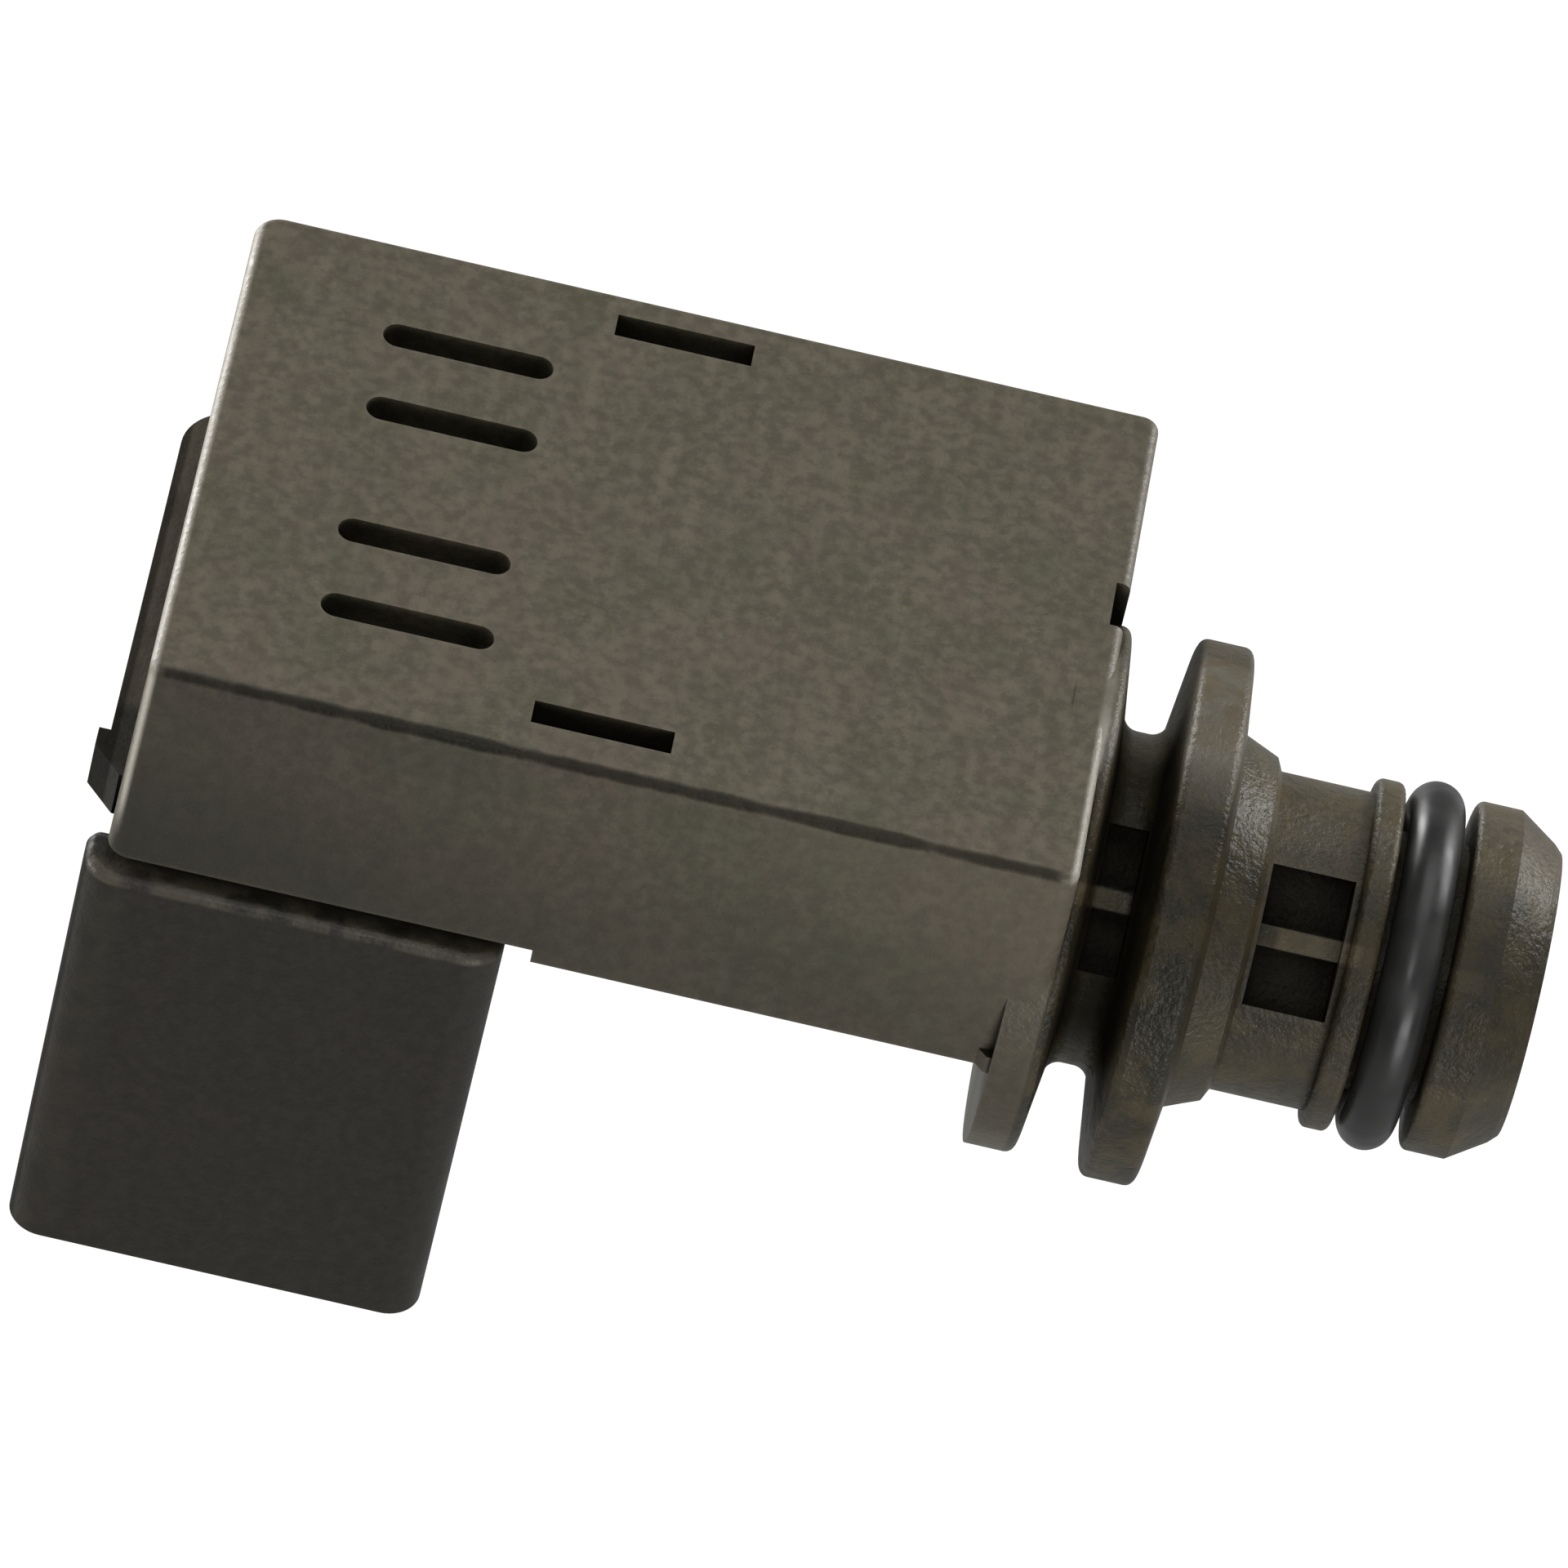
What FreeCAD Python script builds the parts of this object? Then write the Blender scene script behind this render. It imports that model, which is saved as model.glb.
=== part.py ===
"""Push-in fluid pressure sensor with an O-ring nozzle, a moulded box and a blade header.

Millimetres. The origin lies on the nozzle axis, at the outer face of the front flange.
+X runs out along the nozzle, +Z out of the large slotted face, -Y out of the narrow lower face.
"""
import FreeCAD, Part
import math
import os
import Sketcher

SIZES = {
    "Box of the main housing": {
        "housing_length": 43.0,
        "housing_height": 30.85,
        "housing_depth": 12.8,
        "draft_degrees": 1.0,
        "end_setback": 6.8,
        "axis_height": 11.6,
        "axis_depth": 12.4,
        "front_wall": 1.8,
        "upper_wall": 1.45,
        "lower_wall": 2.1,
        "side_wall": 1.6,
        "end_wall": 2.7,
        "corner_upper_left": 1.3,
        "corner_right": 0.8,
        "corner_lower_left": 0.9,
        "front_edge_round": 0.45,
        "bulkhead_wall": 1.0,
        "bulkhead_place": 16.0,
        "rear_step_length": 19.8,
        "rear_step_depth": 0.75,
        "tab_gusset": 0.65,
        "notch_width": 0.7,
        "notch_low": 5.0,
        "notch_high": 7.8,
        "notch_depth": 2.6,
    },
    "Slots and snap windows": {
        "slot_width": 1.5,
        "slot_length": 8.06,
        "slot_inset": 6.85,
        "slot_pair_pitch": 4.95,
        "upper_pair_height": 10.65,
        "lower_pair_height": -2.5,
        "window_length": 6.5,
        "window_width": 1.4,
        "window_inset": 17.3,
        "ledge_reach": 0.75,
        "ledge_low": 2.4,
        "ledge_depth": 1.8,
    },
    "Nozzle": {
        "rear_flange_radius": 12.45,
        "rear_flange_back": 8.75,
        "rear_flange_root": 3.15,
        "rear_flange_rim": 2.25,
        "rear_flange_draft": 0.25,
        "neck_radius": 7.85,
        "neck_length": 1.95,
        "neck_fillet": 0.8,
        "flange_radius": 12.75,
        "flange_rim": 2.45,
        "flange_draft": 0.52,
        "rim_round": 0.45,
        "collar_radius": 8.85,
        "collar_end_radius": 8.15,
        "collar_length": 1.7,
        "collar_step": 0.3,
        "barrel_radius": 7.53,
        "barrel_end": 6.4,
        "land_radius": 8.27,
        "land_round": 0.35,
        "rib_ring_width": 1.35,
        "seal_section": 2.6,
        "seal_inner_radius": 6.12,
        "seal_rear_gap": 0.33,
        "seal_front_gap": 0.52,
        "seal_floor_gap": 0.02,
        "tip_land": 2.1,
        "tip_cone": 1.8,
        "tip_radius": 7.08,
        "tip_round": 0.36,
        "port_radius": 1.8,
        "port_countersink": 0.6,
    },
    "Cored pockets round the nozzle": {
        "pocket_start": 2.2,
        "pocket_length": 3.9,
        "pocket_width": 6.6,
        "pocket_floor": 4.7,
        "pocket_rib": 1.0,
        "pocket_rib_height": 6.2,
        "neck_pocket_width": 6.9,
        "neck_pocket_length": 1.85,
        "neck_pocket_floor": 5.7,
        "neck_rib_height": 6.5,
        "pocket_count": 2,
    },
    "Pressure cell": {
        "cell_radius": 4.4,
        "cell_bore_clearance": 0.15,
        "cell_bore_end": 4.0,
        "cell_seal_section": 1.5,
        "cell_thickness": 2.7,
        "cell_recess_radius": 2.4,
        "cell_recess_depth": 0.5,
        "retainer_thickness": 0.8,
        "retainer_window": 2.9,
        "cell_pin_radius": 0.25,
        "cell_pin_height": 2.0,
        "cell_pin_pitch": 1.5,
        "cell_pin_reach": 3.8,
        "cell_pin_bend": 0.6,
    },
    "Connector body": {
        "plate_thickness": 2.6,
        "plate_proud": 1.27,
        "plate_upper_inset": 0.35,
        "plate_upper_round": 2.7,
        "plate_lower_edge": 7.9,
        "plate_end_gap": 0.4,
        "plug_depth": 1.6,
        "fit_clearance": 0.15,
        "lug_high": 3.3,
        "lug_corner": 4.4,
        "lug_low": 6.0,
        "lug_reach": 0.55,
        "lug_foot": 0.85,
        "waist_inset": 0.7,
        "web_inset": 1.3,
        "groove_depth": 1.3,
        "header_front": 0.65,
        "header_left": 50.95,
        "header_right": 31.27,
        "header_lower": 12.3,
        "header_height": 10.0,
        "header_depth": 24.5,
        "header_lip": 2.5,
        "header_root": 8.85,
        "header_wall": 1.5,
        "header_corner": 1.7,
        "header_upper_corner": 0.5,
        "header_shoulder": 0.5,
        "cavity_corner": 0.6,
        "key_rib_width": 2.0,
        "key_rib_height": 0.8,
        "lock_ramp_width": 5.0,
        "lock_ramp_height": 1.3,
        "lock_ramp_length": 2.6,
        "lock_ramp_flat": 0.6,
        "lock_ramp_setback": 2.2,
        "hook_width": 5.0,
        "hook_thickness": 1.1,
        "hook_gap": 0.1,
        "barb_height": 0.7,
        "barb_length": 1.5,
    },
    "Terminals": {
        "terminal_count": 4,
        "terminal_pitch": 3.6,
        "strip_width": 1.2,
        "strip_thickness": 0.6,
        "strip_height": 0.4,
        "blade_width": 1.5,
        "blade_thickness": 0.64,
        "blade_length": 9.0,
        "blade_point": 0.28,
        "tail_width": 0.64,
        "tail_place": 28.5,
        "tail_first": 3.2,
        "tail_pitch": 2.6,
        "tail_over_board": 0.8,
    },
    "Circuit board": {
        "board_thickness": 1.2,
        "board_rear": 4.6,
        "board_end_gap": 0.9,
        "board_bulkhead_gap": 0.5,
        "board_hook_gap": 0.7,
        "post_inset": 2.0,
        "post_radius": 1.3,
        "stake_radius": 0.75,
        "stake_length": 1.5,
        "hole_clearance": 0.1,
        "chip_length": 4.9,
        "chip_width": 3.9,
        "chip_height": 1.45,
        "chip_standoff": 0.15,
        "chip_bevel": 0.25,
        "chip_leads_per_side": 4,
        "chip_lead_width": 0.42,
        "chip_lead_pitch": 1.27,
        "chip_lead_reach": 1.05,
        "chip_lead_thickness": 0.2,
        "chip_lead_foot": 0.5,
        "chip_lead_root": 0.2,
        "chip_lead_height": 0.8,
        "chip_from_end": 7.5,
        "chip_centre_height": 5.6,
        "small_part_length": 2.0,
        "small_part_width": 1.25,
        "capacitor_height": 0.9,
        "resistor_height": 0.5,
        "small_part_pitch": 3.2,
        "small_part_from_end": 12.6,
        "small_part_first": 11.2,
        "resistor_from_end": 4.6,
        "resistor_first": 13.4,
    },
    "Construction": {
        "overshoot": 1.0,
    },
    "Thermistor": {
        "bead_length": 3.2,
        "bead_radius": 1.1,
        "bead_place": 39.2,
        "bead_height": 4.05,
        "lead_radius": 0.25,
        "lead_spacing": 1.1,
        "lead_on_board": 2.2,
        "lead_in_bead": 0.9,
    },
}

doc = FreeCAD.newDocument("pressure_sensor")
sheet = doc.addObject("Spreadsheet::Sheet", "Sizes")


def fill_sheet():
    """Write every size into the sheet, one named cell to a row."""
    row = 1
    for heading, values in SIZES.items():
        sheet.set(f"A{row}", heading)
        row += 1
        for name, size in values.items():
            sheet.set(f"A{row}", name)
            sheet.set(f"B{row}", str(size))
            sheet.setAlias(f"B{row}", name)
            row += 1
    doc.recompute()


def named(text):
    """Turn bare size names in an expression into references to the sheet."""
    words = []
    for word in text.replace("(", "( ").replace(")", " )").split():
        words.append(f"Sizes.{word}" if word in KNOWN else word)
    return " ".join(words)


def value(text):
    """The number that an expression comes to."""
    return float(sheet.evalExpression(named(text)))


KNOWN = {name for values in SIZES.values() for name in values}

LEFT = "( - end_setback - housing_length )"
RIGHT = "( - end_setback )"
BOTTOM = "( - axis_height )"
TOP = "( housing_height - axis_height )"
FRONT = "axis_depth"
REAR = "( axis_depth - housing_depth )"
CEILING = "( axis_depth - front_wall )"
IN_LEFT = f"( {LEFT} + side_wall )"
IN_RIGHT = f"( {RIGHT} - end_wall )"
IN_BOTTOM = f"( {BOTTOM} + lower_wall )"
IN_TOP = f"( {TOP} - upper_wall )"
PLUG_TOP = f"( {REAR} + plug_depth )"
BULKHEAD_LEFT = f"( {LEFT} + bulkhead_place )"
BULKHEAD_RIGHT = f"( {BULKHEAD_LEFT} + bulkhead_wall )"
LEDGE_TOP = "( ledge_low + ledge_depth )"
WINDOW_LEFT = f"( {LEFT} + window_inset )"
WINDOW_MIDDLE = f"( {WINDOW_LEFT} + window_length / 2 )"
BOARD_FRONT = "( board_rear + board_thickness )"
HOOK_OUT_TOP = f"( {IN_TOP} - ledge_reach - hook_gap )"
HOOK_OUT_BOTTOM = f"( {IN_BOTTOM} + ledge_reach + hook_gap )"
HOOK_IN_TOP = f"( {HOOK_OUT_TOP} - hook_thickness )"
HOOK_IN_BOTTOM = f"( {HOOK_OUT_BOTTOM} + hook_thickness )"
BOARD_LEFT = f"( {BULKHEAD_RIGHT} + board_bulkhead_gap )"
BOARD_RIGHT = f"( {IN_RIGHT} - board_end_gap )"
BOARD_BOTTOM = f"( {HOOK_IN_BOTTOM} + board_hook_gap )"
BOARD_TOP = f"( {HOOK_IN_TOP} - board_hook_gap )"
RIB_RING_END = "( barrel_end + rib_ring_width )"
GROOVE_END = f"( {RIB_RING_END} + seal_rear_gap + seal_section + seal_front_gap )"
GROOVE_FLOOR = "( seal_inner_radius - seal_floor_gap )"
SEAL_CENTRE = f"( {RIB_RING_END} + seal_rear_gap + seal_section / 2 )"
TIP_CONE_START = f"( {GROOVE_END} + tip_land )"
TIP_CONE_END = f"( {TIP_CONE_START} + tip_cone )"
TIP_END = f"( {TIP_CONE_END} + tip_round )"
NECK_START = "( rear_flange_root - rear_flange_back )"
NECK_END = f"( {NECK_START} + neck_length )"
CELL_BORE_RADIUS = "( cell_radius + cell_bore_clearance )"
CELL_FRONT = "( - cell_bore_end - cell_seal_section )"
CELL_BACK = f"( {CELL_FRONT} - cell_thickness )"
PIN_TURN = f"( {CELL_BACK} - cell_pin_reach )"
PLATE_REAR = f"( {REAR} - plate_thickness )"
PLATE_RIGHT = "( - rear_flange_back - plate_end_gap )"
PLATE_LEFT = f"( {LEFT} - plate_proud )"
HEADER_FRONT = "( - header_front )"
HEADER_MOUTH = f"( {HEADER_FRONT} - header_depth )"
HEADER_FLOOR = f"( {HEADER_FRONT} - header_root )"
HEADER_LOW = "( - header_lower )"
HEADER_HIGH = f"( {HEADER_LOW} + header_height )"
HEADER_LEFT = "( - header_left )"
HEADER_RIGHT = "( - header_right )"
BLADE_HEIGHT = f"( ( {HEADER_LOW} + {HEADER_HIGH} ) / 2 )"
BLADE_MIDDLE = f"( ( {HEADER_LEFT} + {HEADER_RIGHT} ) / 2 )"
STRIP_REAR = f"( {PLATE_REAR} + strip_height )"
STRIP_FRONT = f"( {STRIP_REAR} + strip_thickness )"
LEAD_HEIGHT = f"( {BOARD_FRONT} + lead_radius )"

DIAGONAL = 45.0


def plane(body, role):
    """One of a body's own origin planes or axes."""
    return next(feature for feature in body.Origin.OriginFeatures if feature.Role == role)


def new_body(label):
    """An empty body that will become one moulded, turned or stamped piece."""
    body = doc.addObject("PartDesign::Body", label)
    body.Label = label
    return body


def new_sketch(body, name, role, offset="0", diagonal=False):
    """A sketch on an origin plane, moved along its normal and, if diagonal, turned halfway about its X."""
    sketch = body.newObject("Sketcher::SketchObject", name)
    sketch.AttachmentSupport = [(plane(body, role), "")]
    sketch.MapMode = "FlatFace"
    if diagonal:
        sketch.AttachmentOffset = FreeCAD.Placement(
            FreeCAD.Vector(), FreeCAD.Rotation(FreeCAD.Vector(1, 0, 0), DIAGONAL)
        )
        sketch.setExpression("AttachmentOffset.Base.y", named(f"- {offset} * sqrt(0.5)"))
        sketch.setExpression("AttachmentOffset.Base.z", named(f"{offset} * sqrt(0.5)"))
    else:
        sketch.setExpression("AttachmentOffset.Base.z", named(offset))
    return sketch


def hold(sketch, kind, first, text):
    """Add a constraint whose size is an expression on the sheet."""
    number = sketch.addConstraint(Sketcher.Constraint(kind, *first, value(text)))
    sketch.setExpression(f"Constraints[{number}]", named(text))


def rounded_corner(before, corner, after, radius):
    """The two ends of the arc that rounds a corner, and the arc between them."""
    back = (before - corner).normalize()
    ahead = (after - corner).normalize()
    reach = radius / math.tan(back.getAngle(ahead) / 2)
    start = corner + back * reach
    end = corner + ahead * reach
    inward = (back + ahead).normalize()
    middle = corner + inward * (math.hypot(radius, reach) - radius)
    return start, end, Part.Arc(start, middle, end)


def draw(sketch, corners, closed=True):
    """Draw a line from corner to corner, each held by expressions and rounded where it has a radius."""
    places = [FreeCAD.Vector(value(corner[0]), value(corner[1]), 0) for corner in corners]
    count = len(places)
    rounds = {}
    for index, corner in enumerate(corners):
        if len(corner) > 2:
            rounds[index] = rounded_corner(
                places[index - 1], places[index], places[(index + 1) % count], value(corner[2])
            )
    lines = {}
    for index in range(count if closed else count - 1):
        after = (index + 1) % count
        start = rounds[index][1] if index in rounds else places[index]
        end = rounds[after][0] if after in rounds else places[after]
        lines[index] = sketch.addGeometry(Part.LineSegment(start, end))
    for index, corner in enumerate(corners):
        incoming = lines.get((index - 1) % count)
        outgoing = lines.get(index)
        if index in rounds:
            arc = sketch.addGeometry(rounds[index][2])
            start_is_first = sketch.getPoint(arc, 1).distanceToPoint(rounds[index][0]) < 1e-6
            first, last = (1, 2) if start_is_first else (2, 1)
            sketch.addConstraint(Sketcher.Constraint("Tangent", incoming, 2, arc, first))
            sketch.addConstraint(Sketcher.Constraint("Tangent", arc, last, outgoing, 1))
            hold(sketch, "Radius", (arc,), corner[2])
            mark = sketch.addGeometry(Part.Point(places[index]), True)
            sketch.addConstraint(Sketcher.Constraint("PointOnObject", mark, 1, incoming))
            sketch.addConstraint(Sketcher.Constraint("PointOnObject", mark, 1, outgoing))
            held = (mark, 1)
        elif outgoing is None:
            held = (incoming, 2)
        else:
            held = (outgoing, 1)
            if incoming is not None:
                sketch.addConstraint(Sketcher.Constraint("Coincident", incoming, 2, outgoing, 1))
        hold(sketch, "DistanceX", (-1, 1, *held), corner[0])
        hold(sketch, "DistanceY", (-1, 1, *held), corner[1])


def draw_circle(sketch, across, up, radius):
    """Draw a circle held by expressions."""
    centre = FreeCAD.Vector(value(across), value(up), 0)
    circle = sketch.addGeometry(Part.Circle(centre, FreeCAD.Vector(0, 0, 1), value(radius)))
    hold(sketch, "DistanceX", (-1, 1, circle, 3), across)
    hold(sketch, "DistanceY", (-1, 1, circle, 3), up)
    hold(sketch, "Radius", (circle,), radius)


def draw_slot(sketch, left, right, height, radius):
    """Draw a round-ended slot between two centres that lie level."""
    low = value(height) - value(radius)
    high = value(height) + value(radius)
    west, east = value(left), value(right)
    corners = [FreeCAD.Vector(*place, 0) for place in ((west, low), (east, low), (east, high), (west, high))]
    lower = sketch.addGeometry(Part.LineSegment(corners[0], corners[1]))
    upper = sketch.addGeometry(Part.LineSegment(corners[2], corners[3]))
    up = FreeCAD.Vector(0, 0, 1)
    round_east = Part.Circle(FreeCAD.Vector(east, value(height), 0), up, value(radius))
    round_west = Part.Circle(FreeCAD.Vector(west, value(height), 0), up, value(radius))
    end_east = sketch.addGeometry(Part.ArcOfCircle(round_east, -math.pi / 2, math.pi / 2))
    end_west = sketch.addGeometry(Part.ArcOfCircle(round_west, math.pi / 2, 3 * math.pi / 2))
    sketch.addConstraint(Sketcher.Constraint("Tangent", lower, 2, end_east, 1))
    sketch.addConstraint(Sketcher.Constraint("Tangent", end_east, 2, upper, 1))
    sketch.addConstraint(Sketcher.Constraint("Tangent", upper, 2, end_west, 1))
    sketch.addConstraint(Sketcher.Constraint("Tangent", end_west, 2, lower, 1))
    sketch.addConstraint(Sketcher.Constraint("Equal", end_east, end_west))
    hold(sketch, "Radius", (end_east,), radius)
    hold(sketch, "DistanceX", (-1, 1, end_east, 3), right)
    hold(sketch, "DistanceY", (-1, 1, end_east, 3), height)
    hold(sketch, "DistanceX", (-1, 1, end_west, 3), left)
    hold(sketch, "DistanceY", (-1, 1, end_west, 3), height)


def rectangle(left, right, low, high):
    """The corners of an upright rectangle."""
    return [(left, low), (right, low), (right, high), (left, high)]


def pad(body, name, sketch, length):
    """Add material along the sketch's normal."""
    feature = body.newObject("PartDesign::Pad", name)
    feature.Profile = sketch
    feature.setExpression("Length", named(length))
    doc.recompute()
    return feature


def cut(body, name, sketch, length):
    """Take material away along the sketch's normal, and make sure that some went."""
    before = body.Shape.Volume
    feature = body.newObject("PartDesign::Pocket", name)
    feature.Profile = sketch
    feature.Reversed = True
    feature.setExpression("Length", named(length))
    doc.recompute()
    if body.Shape.Volume >= before:
        raise ValueError(f"{name} takes nothing away")
    return feature


def span(low, high):
    """How far it is from one place to another."""
    return f"( {high} ) - ( {low} )"


def pad_block(body, name, corners, low, high):
    """Add a prism between two heights, drawn on the plane of the large face."""
    sketch = new_sketch(body, name + "_outline", "XY_Plane", low)
    draw(sketch, corners)
    return pad(body, name, sketch, span(low, high))


def cut_block(body, name, corners, low, high):
    """Take away a prism between two heights."""
    sketch = new_sketch(body, name + "_outline", "XY_Plane", low)
    draw(sketch, corners)
    return cut(body, name, sketch, span(low, high))


def revolve(body, name, corners):
    """Turn a profile in the large face's plane about the nozzle axis."""
    sketch = new_sketch(body, name + "_profile", "XY_Plane")
    draw(sketch, corners)
    feature = body.newObject("PartDesign::Revolution", name)
    feature.Profile = sketch
    feature.ReferenceAxis = (plane(body, "X_Axis"), [""])
    feature.Angle = 360
    doc.recompute()
    return feature


def cut_round(body, name, start, end, radius, height="0", side="0"):
    """Bore a round hole along X between two stations."""
    sketch = new_sketch(body, name + "_circle", "YZ_Plane", start)
    draw_circle(sketch, side, height, radius)
    return cut(body, name, sketch, span(start, end))


def edges_where(shape, test):
    """The names of a shape's edges that pass a test on their lowest and highest corners."""
    return [f"Edge{number}" for number, edge in enumerate(shape.Edges, 1) if test(edge.BoundBox)]


def round_edges(body, name, radius, test):
    """Round the edges that pass a test."""
    base = body.Tip
    feature = body.newObject("PartDesign::Fillet", name)
    feature.Base = (base, edges_where(base.Shape, test))
    feature.setExpression("Radius", named(radius))
    doc.recompute()
    return feature


def bevel_edges(body, name, size, test):
    """Bevel the edges that pass a test."""
    base = body.Tip
    feature = body.newObject("PartDesign::Chamfer", name)
    feature.Base = (base, edges_where(base.Shape, test))
    feature.setExpression("Size", named(size))
    doc.recompute()
    return feature


def level(box, text, axis="Z"):
    """True where an edge lies wholly at one height, or at one place along another axis."""
    place = value(text)
    low = getattr(box, axis + "Min")
    high = getattr(box, axis + "Max")
    return abs(low - place) < 1e-4 and abs(high - place) < 1e-4


def main_housing():
    """The moulded box, its flanged nozzle and the posts, ledges and bulkhead inside it."""
    body = new_body("main_housing")
    outline = new_sketch(body, "box_outline", "XY_Plane", FRONT)
    draw(outline, [
        (LEFT, BOTTOM, "corner_lower_left"), (RIGHT, BOTTOM, "corner_right"),
        (RIGHT, TOP, "corner_right"), (LEFT, TOP, "corner_upper_left"),
    ])
    box = pad(body, "box", outline, "housing_depth")
    box.Reversed = True
    box.setExpression("TaperAngle", named("draft_degrees"))
    doc.recompute()
    round_edges(body, "front_edges", "front_edge_round", lambda box: level(box, FRONT))
    cut_block(body, "end_notch", rectangle(
        f"{RIGHT} - notch_width", f"{RIGHT} + overshoot", "notch_low", "notch_high"),
        f"{FRONT} - notch_depth", f"{FRONT} + overshoot")
    revolve(body, "nozzle", nozzle_profile())
    pad_block(body, "tab_gusset", [
        ("- rear_flange_back - tab_gusset", f"{BOTTOM} + tab_gusset"),
        ("- rear_flange_back - tab_gusset", BOTTOM),
        ("- rear_flange_back", f"{BOTTOM} - tab_gusset"),
        ("- rear_flange_back + tab_gusset", f"{BOTTOM} - tab_gusset"),
        ("- rear_flange_back + tab_gusset", f"{BOTTOM} + tab_gusset"),
    ], REAR, f"{REAR} + overshoot")
    cut_block(body, "mouth", rectangle(IN_LEFT, IN_RIGHT, IN_BOTTOM, IN_TOP),
              REAR, f"{PLUG_TOP} + fit_clearance")
    cut_block(body, "wet_chamber", rectangle(IN_LEFT, BULKHEAD_LEFT, IN_BOTTOM, IN_TOP), PLUG_TOP, CEILING)
    cut_block(body, "dry_chamber", rectangle(BULKHEAD_RIGHT, IN_RIGHT, IN_BOTTOM, IN_TOP),
              PLUG_TOP, CEILING)
    slots = new_sketch(body, "slots_outline", "XY_Plane", CEILING)
    for pair in ("upper_pair_height", "lower_pair_height"):
        for side in ("+", "-"):
            draw_slot(slots, f"{LEFT} + slot_inset + slot_width / 2",
                      f"{LEFT} + slot_inset + slot_length - slot_width / 2",
                      f"{pair} {side} slot_pair_pitch / 2", "slot_width / 2")
    cut(body, "slots", slots, "front_wall + overshoot")
    window_right = f"{WINDOW_LEFT} + window_length"
    for side, low, high in (("upper", f"{IN_TOP} - window_width", IN_TOP),
                            ("lower", IN_BOTTOM, f"{IN_BOTTOM} + window_width")):
        cut_block(body, side + "_window", rectangle(WINDOW_LEFT, window_right, low, high),
                  CEILING, f"{FRONT} + overshoot")
    for side, wall in (("upper", IN_TOP), ("lower", IN_BOTTOM)):
        pad_block(body, side + "_ledge", rectangle(
            WINDOW_LEFT, window_right, f"{wall} - ledge_reach", f"{wall} + ledge_reach"),
            "ledge_low", LEDGE_TOP)
    cut_block(body, "rear_step", rectangle(
        f"{LEFT} - overshoot", f"{LEFT} + rear_step_length", f"{BOTTOM} - overshoot", IN_BOTTOM),
        REAR, f"{REAR} + rear_step_depth")
    for number, (across, up) in enumerate(post_places(), 1):
        post = new_sketch(body, f"post_{number}_circle", "XY_Plane", BOARD_FRONT)
        draw_circle(post, across, up, "post_radius")
        pad(body, f"post_{number}", post, f"{CEILING} - {BOARD_FRONT}")
        stake = new_sketch(body, f"stake_{number}_circle", "XY_Plane", f"{BOARD_FRONT} - stake_length")
        draw_circle(stake, across, up, "stake_radius")
        pad(body, f"stake_{number}", stake, "stake_length")
    for number, side in enumerate(lead_sides(), 1):
        cut_round(body, f"lead_hole_{number}", f"{BULKHEAD_LEFT} - bulkhead_wall / 2",
                  f"{BULKHEAD_RIGHT} + bulkhead_wall / 2", "lead_radius", LEAD_HEIGHT, side)
    cut_round(body, "cell_bore", f"{IN_RIGHT} - overshoot", "- cell_bore_end", CELL_BORE_RADIUS)
    cut_round(body, "port", "- cell_bore_end - overshoot", f"{TIP_END} + overshoot", "port_radius")
    bevel_edges(body, "port_mouth", "port_countersink",
                lambda box: level(box, TIP_END, "X") and box.YLength < value("tip_radius"))
    cored_pockets(body, "barrel", "pocket_start", "pocket_length", "pocket_width",
                  "pocket_floor", "pocket_rib_height")
    cored_pockets(body, "neck", f"( {NECK_START} + ( neck_length - neck_pocket_length ) / 2 )",
                  "neck_pocket_length", "neck_pocket_width", "neck_pocket_floor", "neck_rib_height")
    return body


def nozzle_profile():
    """The nozzle's turned outline: two flanges, the collar, the barrel, the seal groove and the tip."""
    rear_rim = "( rear_flange_draft - rear_flange_back )"
    rim_back = "( - flange_draft - flange_rim )"
    return [
        ("- rear_flange_back", "0"),
        (rear_rim, "rear_flange_radius"),
        (f"{rear_rim} + rear_flange_rim", "rear_flange_radius", "rim_round"),
        (NECK_START, "neck_radius", "neck_fillet"),
        (NECK_END, "neck_radius", "neck_fillet"),
        (rim_back, "flange_radius", "rim_round"),
        ("- flange_draft", "flange_radius", "rim_round"),
        ("0", "collar_radius"),
        ("collar_length", "collar_end_radius"),
        ("collar_length + collar_step", "barrel_radius"),
        ("barrel_end", "barrel_radius"),
        ("barrel_end", "land_radius", "land_round"),
        (RIB_RING_END, "land_radius", "land_round"),
        (RIB_RING_END, GROOVE_FLOOR),
        (GROOVE_END, GROOVE_FLOOR),
        (GROOVE_END, "land_radius", "land_round"),
        (TIP_CONE_START, "land_radius"),
        (TIP_CONE_END, "tip_radius"),
        (TIP_END, "tip_radius - tip_round"),
        (TIP_END, "0"),
    ]


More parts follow.
